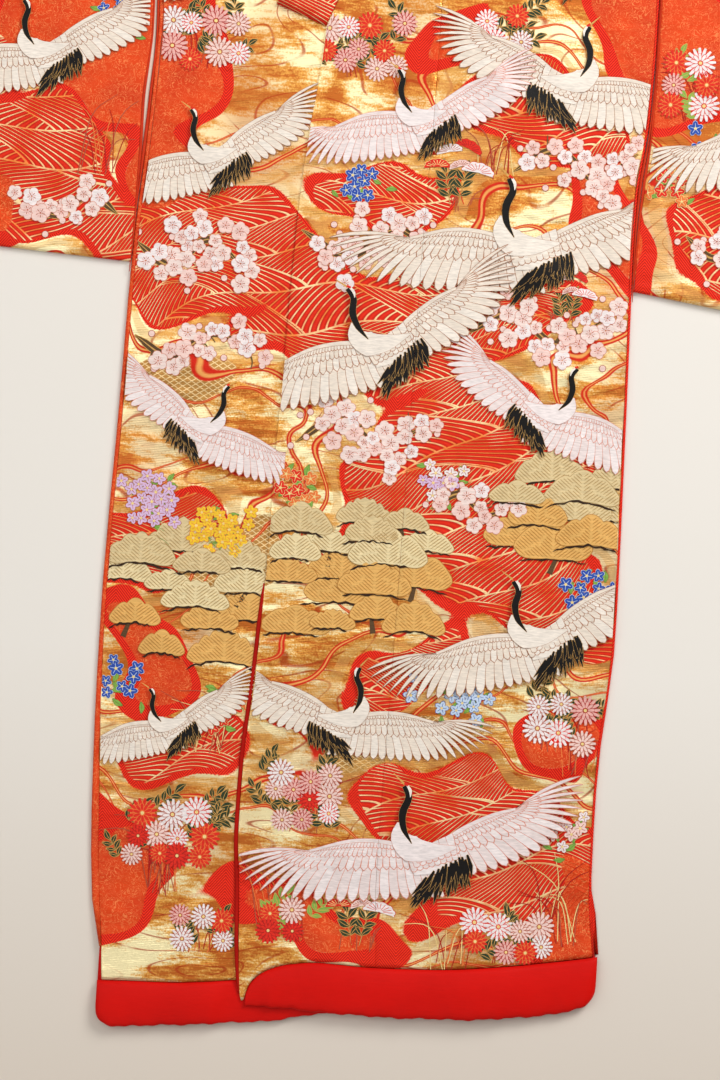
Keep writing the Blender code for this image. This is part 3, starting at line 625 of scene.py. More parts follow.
    # Relief: weft ribs, coarser than the real ones, and liquid ripples in the foil.
    ribs = node("Math", (y, 2 * math.pi / RIB_PITCH), operation="MULTIPLY")
    ribs = node("Math", (ribs,), operation="SINE")
    relief = node("Math", (grain["grain"], 0.3), operation="MULTIPLY")
    rippled = node("Math", (grain["ripples"], 0.5, grain["dents"]), operation="MULTIPLY_ADD")
    for form, depth in ((ribs, 0.05), (rippled, look.ripple_depth), (threads, 0.3)):
        relief = node("Math", (form, depth, relief), operation="MULTIPLY_ADD")
    set_inputs(shader, {
        "Base Color": colour, "Metallic": metal, "Specular IOR Level": 0.15,
        "Roughness": node("MapRange", (metal, 0.0, 0.5, 0.62, look.foil_roughness)),
        "Normal": node("Bump", {"Height": relief, "Strength": 0.8, "Distance": MM}),
    })
    return made


def satin_material(name, colour, dark, depth):
    """Silk satin: long floats that catch a soft light, with faint slubs across the weft."""
    made, node, shader, _, grain = new_material(name, {
        "slub": ((60.0, 520.0, 200.0), 3.0, 0.0), "shade": (14.0, 3.0, 0.0),
        "pucker": (55.0, 2.0, 0.0)})
    slub = grain["slub"]
    share = node("Math", (slub, 0.4, -0.2), operation="MULTIPLY_ADD")
    share = node("Math", (grain["shade"], share), operation="ADD")
    height = node("Math", (slub, 0.25), operation="MULTIPLY")
    height = node("Math", (grain["pucker"], depth, height), operation="MULTIPLY_ADD")
    set_inputs(shader, {
        "Base Color": layered(node, dark, (share, colour)), "Specular IOR Level": 0.08,
        "Roughness": node("MapRange", (slub, 0.0, 1.0, 0.43, 0.57)),
        "Normal": node("Bump", {"Height": height, "Strength": 0.6, "Distance": MM}),
    })
    return made


def silk_material(name):
    """Floss-silk weft floats: dyed per shape, softly glossy along the weft."""
    made, node, shader, _, grain = new_material(name, {
        "floats": ((110.0, 560.0, 110.0), 2.0, 0.0)})
    floats = grain["floats"]
    dye = node("Attribute", out="Color", attribute_name="dye")
    shade = node("MapRange", (floats, 0.3, 0.7, 0.83, 1.06))
    shade = node("CombineXYZ", (shade, shade, shade))
    set_inputs(shader, {
        "Base Color": node("Mix", {0: 1.0, 6: dye, 7: shade}, 2, data_type="RGBA",
                           blend_type="MULTIPLY"),
        "Roughness": node("MapRange", (floats, 0.0, 1.0, 0.45, 0.65)),
        "Specular IOR Level": 0.18,
        "Normal": node("Bump", {"Height": floats, "Strength": 0.5, "Distance": 0.6 * MM}),
    })
    return made


def floor_material(name, stage):
    """Matt painted board: even and pale, with painted shade that makes it darker and warmer
    towards the camera's near side.
    """
    made, node, shader, spot, grain = new_material(name, {"mottle": (2.0, 3.0, 0.0)})
    near = node("SeparateXYZ", (spot,), 1)
    set_inputs(shader, {
        "Base Color": layered(node, stage.floor_dark, (grain["mottle"], stage.floor_pale),
                              (node("MapRange", (near, -0.55, -1.10)), stage.floor_near)),
        "Roughness": node("MapRange", (grain["mottle"], 0.0, 1.0, 0.8, 0.9)),
    })
    return made


def hex_field(name, what, default):
    """A colour that a user would change."""
    return bpy.props.StringProperty(name=name, description="sRGB hex of " + what, default=default)


def number_field(name, description, default, low, high, **more):
    """A size that a user would change."""
    return bpy.props.FloatProperty(name=name, description=description, default=default, min=low,
                                   max=high, **more)


class UchikakeLook(bpy.types.PropertyGroup):
    """Sizes and colours of the cloth that a user would change."""

    # Pale foil is a painted highlight and deep foil a painted shade in the foil's colour; mid foil
    # is its own colour.
    pale_gold: hex_field("Pale foil", "the foil's palest shapes", "FFEEB8")
    mid_gold: hex_field("Foil", "most of the foil", "E4A34A")
    deep_gold: hex_field("Deep foil", "the foil's deepest shapes", "BE6524")
    wave_red: hex_field("Wave red", "the wave ground", "E02A10")
    wave_line: hex_field("Wave line", "the lines on the waves", "F6D49C")
    orange: hex_field("Orange", "the orange ground", "DE4414")
    satin_red: hex_field("Hem red", "the hem's satin", "DC120A")
    lining_pale: hex_field("Lining", "the pale lining", "EEDCCB")
    foil_roughness: number_field(
        "Foil roughness", "How blurred the foil's reflections are", 0.30, 0.05, 1.0)
    ripple_depth: number_field(
        "Ripple depth", "Depth of the ripples in the foil, in millimetres", 3.0, 0.0, 6.0)
    wave_band: number_field(
        "Wave band", "Height of one band of waves, in millimetres", 40.0, 10.0, 80.0)
    wave_long: number_field(
        "Wave length", "Length of one wave along its band, in millimetres", 118.0, 40.0, 300.0)
    wave_hatch: number_field(
        "Wave hatch", "Half the gap between hatch lines, in millimetres", 5.1, 1.5, 12.0)
    cell: number_field("Cloth cell", "Spacing of the cloth's grid", 0.0055, 0.003, 0.03,
                       unit="LENGTH", precision=4)


class UchikakeStage(bpy.types.PropertyGroup):
    """The floor, lights and camera."""

    floor_pale: hex_field("Floor", "the floor", "E7E1D8")
    floor_dark: hex_field("Floor mottle", "the floor's darker trace", "E3DCD2")
    # Painted shade: the floor darkens and warms beyond the hem, where the lights fall off.
    floor_near: hex_field("Floor's near side", "the floor beyond the hem", "D8CBBC")
    lens: number_field("Lens", "Camera focal length in millimetres", 85.0, 20, 200)
    turn: number_field("Turn", "Turn of the camera about its line of sight", math.radians(3.5),
                       -math.pi, math.pi, subtype="ANGLE")


def spaced(low, high, steps):
    return list(np.linspace(low, high, steps + 1))


def crowded(count):
    """Shares from 0 to 1 in even steps, with two closer ones beside each end."""
    return np.concatenate([(0, 0.004, 0.011), np.linspace(0.022, 0.978, count), (0.989, 0.996, 1)])


def rolled_edge(away):
    """How far cloth dips towards a sewn or folded edge that is this far away."""
    return 0.75 * np.exp(-((away / 1.7) ** 2))


def edge_dip(x, deep, slight):
    """How far a panel dips at its two edges."""
    return rolled_edge(np.abs(x - deep)) + 0.6 * rolled_edge(np.abs(x - slight))


def grid_mesh(points):
    """A bmesh grid through points[row][column]; corners that hold no number are left out."""
    rows, columns = points.shape[0] - 1, points.shape[1] - 1
    bm = bmesh.new()
    bmesh.ops.create_grid(bm, x_segments=columns, y_segments=rows, size=1)
    left_out = []
    for corner in bm.verts:
        i = round((corner.co.x + 1) / 2 * columns)
        j = round((corner.co.y + 1) / 2 * rows)
        point = points[j, i]
        if math.isnan(point[0]):
            left_out.append(corner)
        else:
            corner.co = point
    bmesh.ops.delete(bm, geom=left_out, context="VERTS")
    return bm


def cloth_mesh(rows):
    """A grid whose outside is the garment's, which faces up on a front."""
    bm = grid_mesh(np.array(rows))
    point_outwards(bm)
    return bm


def point_outwards(bm):
    bmesh.ops.recalc_face_normals(bm, faces=bm.faces)
    top = max(bm.faces, key=lambda face: face.calc_center_median().z - 2 * abs(
        face.calc_center_median().y - 700) / 100)
    if top.normal.z < 0:
        bmesh.ops.reverse_faces(bm, faces=bm.faces)


def tube_mesh(rings):
    """A closed, capped body through rings of equal point counts."""
    points = np.array([list(ring) + [ring[0]] for ring in rings], float)
    bm = grid_mesh(points)
    bmesh.ops.remove_doubles(bm, verts=bm.verts, dist=0.004)
    open_edges = [edge for edge in bm.edges if edge.is_boundary]
    bmesh.ops.holes_fill(bm, edges=open_edges, sides=0)
    bmesh.ops.recalc_face_normals(bm, faces=bm.faces)
    return bm


def read_points(mesh):
    flat = np.empty(len(mesh.vertices) * 3)
    mesh.vertices.foreach_get("co", flat)
    return flat.reshape(-1, 3)


def add_piece(bm, name, finishes):
    """A bmesh in garment millimetres becomes a piece in the frame, with its ground values."""
    mesh = bpy.data.meshes.new(name)
    bm.to_mesh(mesh)
    bm.free()
    points = read_points(mesh)
    x, y = points[:, 0], points[:, 1]
    water, patch = zone(WATER, x, y), zone(PATCH, x, y)
    if name.startswith("body_length"):
        # The back's edge, turned to the front, is orange on the right and plain red on the left.
        turned = (x < side_seam("right", y) + 0.05) | (x > side_seam("left", y) - 0.05)
        if name.endswith("left"):
            water, patch = np.where(turned, -60.0, water), np.where(turned, -6.0, patch)
        else:
            patch = np.where(turned, 30.0, patch)
    if name.startswith("collar"):
        water = np.maximum(water, 30 - 90 * smooth((y - BAND_WAVES_Y) / BAND_WAVES_FADE))
    for field, values in (("grounds", np.stack([water, patch, zone(LATTICE, x, y)], axis=1)),
                          ("flow", wave_flow(x, y))):
        mesh.attributes.new(field, "FLOAT_VECTOR", "POINT").data.foreach_set(
            "vector", values.ravel())
    mesh.vertices.foreach_set("co", placed(points).ravel())
    mesh.shade_smooth()
    for finish in finishes:
        mesh.materials.append(finish_of(finish))
    made = bpy.data.objects.new(name, mesh)
    bpy.context.scene.collection.objects.link(made)
    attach(made, "root")
    return made


def add_cloth(bm, name, node):
    """A piece of brocade of a real thickness, lined, in place of a node of the solids."""
    made = add_piece(bm, name, ["woven_gold_brocade", "pale_lining_satin"])
    wall = made.modifiers.new("wall", "SOLIDIFY")
    wall.thickness = CLOTH * MM
    wall.offset = 0
    wall.use_even_offset = True
    wall.use_rim = True
    wall.material_offset = 1
    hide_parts(node)


def wave_flow(x, y):
    """Coordinates that the waves follow: across the bands and up them."""
    u = x * 0.97 + y * 0.24 + 14 * np.sin(y / 61) + 9 * np.sin(x / 53 + y / 83)
    v = (
        y * 0.97 - x * 0.22 + 17 * np.sin(x / 64 + 0.8 + 0.9 * np.sin(y / 95))
        + 8 * np.sin(x / 33 + y / 71) + 13 * np.sin(y / 74 + x / 150)
    )
    return np.stack([u, v, np.zeros_like(u)], axis=1)


def panel_row(side, nominal, x_at, count):
    """The places of one row of a front, bent to the hem's curve near the hem."""
    y = np.full(count, float(nominal))
    if nominal < HEM_ROW + HEM_FADE:
        for _ in range(3):
            lift = along(HEMS[side], "top", x_at(y), "x") - HEM_ROW
            y = nominal + lift * (1 - smooth((nominal - HEM_ROW) / HEM_FADE))
    return x_at(y), y


def front_levels(top, cell):
    """Heights of a front's rows from the hem up: close below, where the folds are."""
    return (spaced(HEM_ROW, FINE_Y, round((FINE_Y - HEM_ROW) / cell))
            + spaced(FINE_Y, top, round((top - FINE_Y) / cell / 2))[1:])


def line_of(table, side, y):
    return along(table, "x", y) if side == "left" else mirrored(table, y)


def front_inner(side, y):
    """The front panel's inner edge: the collar seam above the gore's point, its seam below."""
    y = np.asarray(y, float)
    seam = np.where(y > GORE_POINT_Y, line_of(COLLAR_SEAM, side, y), line_of(GORE_SEAM, side, y))
    return seam + TOWARD[side] * SEAM_GAP / 2


def front_outer(side, y):
    return side_seam(side, y) - TOWARD[side] * SEAM_GAP / 2


def gore_inner(side, y):
    """The free front edge, and above the collar's end the collar seam."""
    y = np.asarray(y, float)
    seam = line_of(COLLAR_SEAM, side, y) + TOWARD[side] * SEAM_GAP / 2
    return np.where(y <= COLLAR_END_Y, line_of(FRONT_EDGE, side, y), seam)


def gore_outer(side, y):
    return line_of(GORE_SEAM, side, y) - TOWARD[side] * SEAM_GAP / 2


def body_length(side, cell):
    """One body length: up the back, over the shoulder and down the front to its hem."""
    toward, front_z = TOWARD[side], FRONT_LAY[side]
    panel = crowded(round(FRONT_WIDE / cell))
    neck = np.linspace(0, 1, 6)[:-1]
    first, width = len(neck), len(panel)
    last = first + width - 1
    count = last + 1 + CURL_STEPS + 1
    span = slice(first, last + 1)

    def back_row(nominal):
        y = np.full(count, float(nominal))
        top_y = NECK_BACK_Y + NECK_SIDE_RISE * neck**2
        y[:first] += (top_y - TURN_Y) * smooth((nominal - BACK_NECK_Y) / (TURN_Y - BACK_NECK_Y))
        neck_side = centre_x(y) + toward * NECK_HALF
        inner = centre_x(y) + toward * SEAM_GAP / 2
        x = np.empty(count)
        x[:first] = inner[:first] + (neck_side[:first] - inner[:first]) * neck
        x[span] = neck_side[span] + (front_outer(side, y[span]) - neck_side[span]) * panel
        x[last + 1 :] = x[last]
        if nominal < HEM_ROW + HEM_FADE:
            lift = along(BACK_HEM, "top", x, "x") - HEM_ROW
            y += lift * (1 - smooth((nominal - HEM_ROW) / HEM_FADE))
        z = np.full(count, CLOTH / 2)
        # The back's edge turns up and in to the side seam.
        edge = along(SIDES, side + "_edge", y[last])
        if side == "right":
            edge += STRIP_TUCK * smooth((TUCK_TOP - y[last]) / TUCK_HIGH)
        turn = LAYER / 2
        middle = edge - toward * (turn + CLOTH / 2)
        low = right_base(y[last]) if side == "right" else left_base(SLEEVE_START, y[last])
        for step in range(CURL_STEPS):
            angle = math.pi * step / (CURL_STEPS - 1)
            high = turn + (low - LAYER) * (1 - math.cos(angle)) / 4
            x[last + 1 + step] = middle + toward * turn * math.sin(angle)
            z[last + 1 + step] = CLOTH / 2 + high * (1 - math.cos(angle))
        x[-1] = side_seam(side, y[last]) + toward * SEAM_GAP / 2
        z[-1] = right_base(y[last]) + CLOTH / 2
        return np.stack([x, y, z], axis=1)

    def front_x(y):
        inner = front_inner(side, y)
        return inner + (front_outer(side, y) - inner) * panel

    def front_row(x, y, z):
        """A row without the corners of the neck and of the turned edge."""
        row = np.full((count, 3), np.nan)
        row[span] = np.stack([x, y, z], axis=1)
        return row

    rows = [back_row(nominal) for nominal in (
        spaced(HEM_ROW, 500, 8) + spaced(500, BACK_NECK_Y, 12)[1:]
        + spaced(BACK_NECK_Y, TURN_Y, 10)[1:])]
    # Half a turn over the shoulder, from the back wall to the front wall.
    y = np.full(width, TURN_Y)
    x = front_x(y)
    radius = (front_z(x, y) - CLOTH / 2) / 2
    reach = SHOULDER_Y - CLOTH / 2 - radius
    for step in range(SHOULDER_STEPS):
        angle = math.pi * (step + 0.5) / SHOULDER_STEPS
        share = min(1.0, math.sin(angle) * 1.25)
        rows.append(front_row(x, y + (reach - y) * share + radius * math.sin(angle) * share,
                              CLOTH / 2 + radius * (1 - math.cos(angle))))
    for nominal in reversed(front_levels(TURN_Y, cell)):
        x, y = panel_row(side, nominal, front_x, width)
        dip = edge_dip(x, front_inner(side, y), front_outer(side, y))
        rows.append(front_row(x, y, front_z(x, y) - dip))
    return cloth_mesh(rows)


def gore_length(side, cell):
    """The okumi: from the hem to its point on the collar, beside the front panel."""
    shares = crowded(round(GORE_WIDE / cell))

    def across(y):
        inner = gore_inner(side, y)
        return inner + (gore_outer(side, y) - inner) * shares

    rows = []
    for nominal in front_levels(GORE_TOP_Y, cell):
        x, y = panel_row(side, nominal, across, len(shares))
        dip = edge_dip(x, gore_outer(side, y), gore_inner(side, y))
        rows.append(np.stack([x, y, FRONT_LAY[side](x, y) - dip], axis=1))
    return cloth_mesh(rows)


def sleeve_inner(side, y, on_front):
    """Distance of the sleeve's open edge from the centre back."""
    if on_front:
        return TOWARD[side] * along(SLEEVE_EDGES, side + "_x", y)
    body = TOWARD[side] * along(SIDES, side + "_edge", y)
    return body + SEAM_GAP + SIDE_GAP * smooth((ARMHOLE_Y + 100 - y) / 60)


def sleeve_hem(side, out, turn):
    """The sleeve's lower edge, rounded up at its outer corner."""
    past = np.clip(out - (SLEEVE_REACH - SLEEVE_CORNER), 0, SLEEVE_CORNER)
    rise = SLEEVE_CORNER - np.sqrt(SLEEVE_CORNER**2 - past**2)
    return along(SLEEVE_HEMS, side + "_y", out, "x") + rise + CLOTH / 2 + turn


def sleeve_length(side, cell):
    """A length folded at the shoulder, sewn along the bottom and part of the cuff."""
    toward = TOWARD[side]
    turn = SLEEVE_LOW / 2
    high, reach = SHOULDER_Y - CLOTH / 2 - turn, SLEEVE_REACH - CLOTH / 2 - turn
    levels = round(1050 / cell / 1.25)
    shares = 1 - (1 - crowded(round(SLEEVE_WIDE / cell))) ** 1.15

    def row_at(level, on_front):
        def height_of(out):
            low = sleeve_hem(side, out, turn)
            return low + (high - low) * level

        out = SLEEVE_START + (reach - SLEEVE_START) * shares
        for _ in range(2):
            inner = sleeve_inner(side, height_of(out), on_front)
            out = inner + (reach - inner) * shares
        x, y = toward * out, height_of(out)
        if on_front:
            z = sleeve_front(x, y) - 0.6 * rolled_edge(out - inner)
        else:
            z = np.full(len(out), CLOTH / 2)
        return np.stack([x, y, z], axis=1)

    def half_turn(start, end, outward):
        """Rows of a half turn between two rows, bulging by the turn's radius."""
        made = []
        for k in range(1, FOLD_STEPS):
            angle = math.pi * k / FOLD_STEPS
            row = start + (end - start) * k / FOLD_STEPS
            middle = (start[:, 2] + end[:, 2]) / 2
            row[:, 2] = middle + (start[:, 2] - middle) * math.cos(angle)
            row[:, 1] = start[:, 1] + outward * turn * math.sin(angle)
            made.append(row)
        return made

    front = [row_at(k / levels, True) for k in range(levels + 1)]
    back = [row_at(1 - k / levels, False) for k in range(levels + 1)]
    bm = grid_mesh(np.array(front + half_turn(front[-1], back[0], 1) + back
                            + half_turn(back[-1], front[0], -1) + [front[0]]))
    # The outer edge is sewn from the hem up to the cuff's opening.
    closing = []
    for ahead, behind in zip(front, reversed(back)):
        (x, y, z), middle = ahead[-1], (ahead[-1][2] + behind[-1][2]) / 2
        if y > CUFF_OPENING_Y:
            break
        closing.append([(x + toward * turn * math.sin(angle), y,
                         middle + (z - middle) * math.cos(angle))
                        for angle in np.linspace(0, math.pi, FOLD_STEPS + 1)])
    closing = grid_mesh(np.array(closing))
    spare = bpy.data.meshes.new("cuff_side")
    closing.to_mesh(spare)
    closing.free()
    bm.from_mesh(spare)
    bpy.data.meshes.remove(spare)
    bmesh.ops.remove_doubles(bm, verts=bm.verts, dist=0.02)
    point_outwards(bm)
    return bm


def collar_sections():
    """Seam point and lean of each section of the left half, from its end up to the shoulder."""
    turned = np.array([NECK_TURN[k][0] for k in ("lean_x", "lean_y", "lean_z")])
    for y in spaced(COLLAR_END_Y, 1890, 60):
        low, high = max(y - 6, COLLAR_END_Y), min(y + 6, SHOULDER_Y)
        slope = (along(COLLAR_SEAM, "x", high) - along(COLLAR_SEAM, "x", low)) / (high - low)
        size = math.hypot(1, slope)
        stand = smooth((y - COLLAR_STAND_Y) / 170)
        lean = (np.array((-1 / size, slope / size, 0.0)) * COLLAR_WIDE * (1 - stand)
                + turned * stand)
        yield float(along(COLLAR_SEAM, "x", y)), y, lean * COLLAR_WIDE / np.linalg.norm(lean)


def collar_length():
    """The collar: flat on both fronts, standing up round the neck, with soft folded edges."""
    flip = np.array((-1, 1, 1))
    left, right, turn, far = [], [], [], []
    for x, y, lean in collar_sections():
        lift = COLLAR_THICK / 2 + COLLAR_RISE * smooth((y - COLLAR_RISE_Y) / 120)
        left.append((np.array((x - SEAM_GAP, y, float(left_base(x, y)) + lift)), lean))
        seam = 2 * float(centre_x(y)) - x + SEAM_GAP
        right.insert(0, (np.array((seam, y, float(right_base(y)) + lift)), lean * flip))
    for step in spaced(0, 5, 20):
        row = [float(along(NECK_TURN, k, step, "step")) for k in NECK_TURN if k != "step"]
        turn.append((np.array(row[:3]), np.array(row[3:])))
    for k, (seam, lean) in enumerate(reversed(turn[:-1])):
        # The right side starts lower than the left, which lies on it.
        drop = (left[-1][0][2] - right[0][0][2]) * smooth(k / (len(turn) - 2))
        far.append((seam * flip - np.array((0, 0, drop)), lean * flip))
    stations = left + turn + far + right
    rings = []
    for k, (seam, lean) in enumerate(stations):
        before = stations[max(k - 1, 0)][0]
        after = stations[min(k + 1, len(stations) - 1)][0]
        out = np.cross(after - before, lean)
        out *= COLLAR_THICK / 2 / np.linalg.norm(out)
        ring = []
        for step in range(RING_STEPS):
            angle = 2 * math.pi * step / RING_STEPS
            # A flattened ring: full thickness between two rounded edges.
            across = 0.5 - 0.5 * math.copysign(abs(math.cos(angle)) ** 0.22, math.cos(angle))
            thick = math.copysign(abs(math.sin(angle)) ** 0.45, math.sin(angle))
            ring.append(seam + lean * across + out * thick)
        rings.append(ring)
    return tube_mesh(rings)


def roll_mesh(table, ends, base, thick, cut_square, seed):
    """A padded roll under a hem line, puckered along its lower edge by the stitches. Its lower
    corners are rounded, save at the ends that are cut square."""
    steps = 150
    start, end = ends
    rings = []
    rng = random.Random(seed)
    phases = [rng.uniform(0, 6.28) for _ in range(5)]
    for k in range(steps + 1):
        t = k / steps
        t = t + 0.8 * (0.5 - 0.5 * math.cos(math.pi * t) - t)
        x = start + (end - start) * t
        top = float(along(table, "top", x - HEM_GAP, "x")) - HEM_GAP
        low = float(along(table, "low", x, "x"))
        share = 1.0
        for edge in ends:
            near = min(abs(x - edge) / ROLL_CORNER, 1.0)
            if edge not in cut_square:
                share = min(share, math.sqrt(1 - (1 - near) ** 2))
        low = top - (top - low) * (ROLL_END_HIGH + (1 - ROLL_END_HIGH) * share)
        pucker = (0.5 * math.sin(x / 2.7 + phases[0]) + 0.6 * math.sin(x / 6.1 + phases[1])
                  + 0.5 * math.sin(x / 14 + phases[2]))
        swell = 1 + 0.035 * math.sin(x / 23 + phases[3]) + 0.03 * math.sin(x / 9 + phases[4])
        high = thick(x) * (ROLL_END_THICK + (1 - ROLL_END_THICK) * share) * swell
        ring = []
        for across, up in zip(ROLL_SECTION["across"], ROLL_SECTION["up"]):
            drawn = pucker * math.exp(-((across / 0.12) ** 2))
            dent = 1 - 0.05 * math.sin(x / 4.3 + phases[2]) * math.exp(
                -((across - 0.16) / 0.2) ** 2)
            ring.append((x, low + drawn + across * (top - low), base(x) + up * high * dent))
        rings.append(ring)
    return tube_mesh(rings)


def narrow_tube(places, half_wide, half_high, steps=8):
    """A thin padded line through places, flattened to what it lies on."""
    wides = np.broadcast_to(half_wide, len(places))
    rings = []
    for k, (x, y, z) in enumerate(places):
        ends = min(k, len(places) - 1 - k)
        taper = 0.35 + 0.65 * float(smooth(ends / 4))
        rings.append([
            (x + wides[k] * taper * math.cos(2 * math.pi * s / steps), y,
             z + half_high * taper * math.sin(2 * math.pi * s / steps))
            for s in range(steps)
        ])
    return tube_mesh(rings)


class FlatArt:
    """Motifs drawn flat in garment millimetres and joined from arrays. Z is the height above the
    cloth; the colour of each thread goes with its corners."""

    LIFTS, LIFT = 61, 0.0006
    MARGIN = 20

    def __init__(self):
        self.corners, self.dyes, self.faces, self.count = [], [], [], 0
        self.cranes = 0

    def sheet(self, points, lift, colour):
        """A patch through points[row][column], facing up."""
        rows, columns = points.shape[:2]
        size = rows * columns
        index = np.arange(size).reshape(rows, columns) + self.count
        faces = np.stack([index[:-1, :-1], index[:-1, 1:], index[1:, 1:], index[1:, :-1]], axis=-1)
        along_row = points[:-1, 1:] - points[:-1, :-1]
        along_column = points[1:, :-1] - points[:-1, :-1]
        turned = (along_row[..., 0] * along_column[..., 1]
                  - along_row[..., 1] * along_column[..., 0]).sum()
        self.faces.append((faces if turned > 0 else faces[..., ::-1]).reshape(-1, 4))
        # No two overlapping patches share a height.
        lift += len(self.faces) % self.LIFTS * self.LIFT
        self.corners.append(np.column_stack([points.reshape(-1, 2), np.full(size, lift)]))
        self.dyes.append(np.tile(colour, (size, 1)))
        self.count += size

    def joined(self, within):
        """One bmesh of every patch that reaches into a box of x and y."""
        corners, faces = np.concatenate(self.corners), np.concatenate(self.faces)
        middle = corners[faces].mean(axis=1)[:, :2]
        lows, highs = np.array(within, float).reshape(2, 2).T
        near = (middle > lows - self.MARGIN) & (middle < highs + self.MARGIN)
        kept = faces[near.all(axis=1)]
        used, where = np.unique(kept, return_inverse=True)
        mesh = bpy.data.meshes.new("motifs")
        mesh.from_pydata(corners[used], [], where.reshape(-1, 4).tolist())
        mesh.attributes.new("dye", "FLOAT_COLOR", "POINT").data.foreach_set(
            "color", np.concatenate(self.dyes)[used].ravel())
        bm = bmesh.new()
        bm.from_mesh(mesh)
        bpy.data.meshes.remove(mesh)
        return bm

    def ribbon(self, path, widths, lift, colour, steps=8, rim=0.0):
        """A band along a smooth path. widths are half widths, evenly spread along it."""
        centre, ahead = spline(path, steps, rim)
        t = np.linspace(0, 1, steps + 1)
        half = np.interp(t, np.linspace(0, 1, len(widths)), widths) + rim
        side = np.stack([-ahead[:, 1], ahead[:, 0]], axis=1) * half[:, None]
        across = np.linspace(-1, 1, 5 if half.max() > 4 else 2)[:, None]
        self.sheet(centre[:, None] + side[:, None] * across, lift, colour)

    def edged(self, path, widths, lift, fill, line, rim=0.7, steps=8):
        self.ribbon(path, widths, lift, line, steps, rim)
        self.ribbon(path, widths, lift + 0.07, fill, steps)

    def round_shape(self, x, y, radius, lift, colour, spokes, turn=0.0):
        """A closed shape about a point; radius is its reach, or gives it at each angle."""
        angle = np.linspace(0, 2 * math.pi, spokes + 1)
        reach = np.array([[0.02], [1.0]]) * (radius(angle) if callable(radius) else radius)
        points = np.stack([x + reach * np.cos(angle + turn), y + reach * np.sin(angle + turn)],
                          axis=2)
        self.sheet(points, lift, colour)


def spline(path, steps, rim=0.0):
    """Points along a smooth curve through a few places, and its direction at each."""
    path = np.array(path, float)
    if rim:
        first, last = path[0] - path[1], path[-1] - path[-2]
        path[0] += first / max(np.hypot(*first), 1e-6) * rim
        path[-1] += last / max(np.hypot(*last), 1e-6) * rim
    padded = np.vstack([2 * path[0] - path[1], path, 2 * path[-1] - path[-2]])
    t = np.linspace(0, len(path) - 1, steps + 1)
    k = np.minimum(t.astype(int), len(path) - 2)
    f = (t - k)[:, None]
    a, b, c, d = padded[k], padded[k + 1], padded[k + 2], padded[k + 3]
    points = 0.5 * (2 * b + (c - a) * f + (2 * a - 5 * b + 4 * c - d) * f**2
                    + (3 * b - a - 3 * c + d) * f**3)
    ahead = np.gradient(points, axis=0)
    return points, ahead / np.maximum(np.linalg.norm(ahead, axis=1), 1e-9)[:, None]


DYES = {name: hex_colour(value) for name, value in {
    "white": "F1E7DA", "cool": "EFE2DE", "feather": "E9DAC9", "down": "EDE1D3", "mist": "EAD9D4",
    "quill": "B07A5A", "vein": "DB8C76", "jet": "0F0B09", "ink": "35200F", "bark": "5B4227",
    "olive": "6B5430", "gold": "D6A255", "sand": "C99A55", "straw": "F0D28A", "khaki": "DCC493",
    "cream": "E8D3A2", "honey": "E3AF62", "amber": "BC7E36", "reed": "B5915A", "rust": "B4553A",
    "red": "DE2A1A", "deep": "B01A12", "orange": "E9783A", "pink": "F0CDC2", "petal": "F0D8CE",
    "blush": "E9AFA4", "leaf": "2C3A24", "moss": "6E8A3C", "green": "86B04A", "blue": "2C4DA6",
    "sky": "C3D3E6", "lilac": "D9B9D8", "yellow": "F2C42F",
}.items()}


def scattered(tries, count, near, pick, squash=1.0):
    """Up to count spots, each a place and its reach, that keep apart by a share of both."""
    spots = []
    for _ in range(tries):
        if len(spots) >= count:
            break
        x, y, reach = pick()
        if all(math.hypot(x - a, (y - b) * squash) > (reach + r) * near for a, b, r in spots):
            spots.append((x, y, reach))
    return spots


def local_place(x, y, size, turn=0.0, flip=1):
    """Carries points from a motif's own drawing to its place on the garment."""
    c, s = math.cos(math.radians(turn)) * size, math.sin(math.radians(turn)) * size

    def move(points):
        points = np.array(points, float) * (flip, 1)
        return np.stack([x + points[..., 0] * c - points[..., 1] * s,
                         y + points[..., 0] * s + points[..., 1] * c], axis=-1)

    return move


def feather_fan(art, move, roots, tips, bend, lift, fill, line, half_line, sharp):
    """Feathers side by side: neighbours share an edge, less the couched line between them.
    sharp is 0 for a round end and 1 for a long pointed one."""
    steps = 7 if np.linalg.norm(tips[0] - roots[0]) > 45 else 4
    t = (1 - (1 - np.linspace(0, 1, steps + 1)) ** 1.6)[:, None]
    paths = []
    for root, tip in zip(roots, tips):
        run = tip - root
        across = np.array((-run[1], run[0])) * bend
        paths.append(root + run * t + across * (4 * t * (1 - t)))
    mids = [(a + b) / 2 for a, b in zip(paths, paths[1:])]
    sides = [2 * paths[0] - mids[0], *mids, 2 * paths[-1] - mids[-1]]
    for k, path in enumerate(paths):
        before, after = sides[k] - path, sides[k + 1] - path
        reach_a = np.linalg.norm(before, axis=1)[:, None] + 1e-6
        reach_b = np.linalg.norm(after, axis=1)[:, None] + 1e-6
        ahead = (tips[k] - roots[k]) / np.linalg.norm(tips[k] - roots[k])
        start = 0.80 - 0.42 * sharp[k]
        past = np.clip((t - start) / (1 - start), 0, 1)
        taper = sharp[k] * (1 - past) ** 0.75 + (1 - sharp[k]) * np.sqrt(1 - past**2)
        for rim, colour, up in ((half_line, line, 0.0), (-half_line, fill[k % len(fill)], 0.07)):
            wide_a = np.maximum(reach_a * taper + rim, 0.1)
            wide_b = np.maximum(reach_b * taper + rim, 0.1)
            middle = path + ahead * t**6 * rim * 1.5
            points = np.stack([middle + before / reach_a * wide_a, middle,
                               middle + after / reach_b * wide_b], axis=1)
            art.sheet(move(points), lift + up, colour)


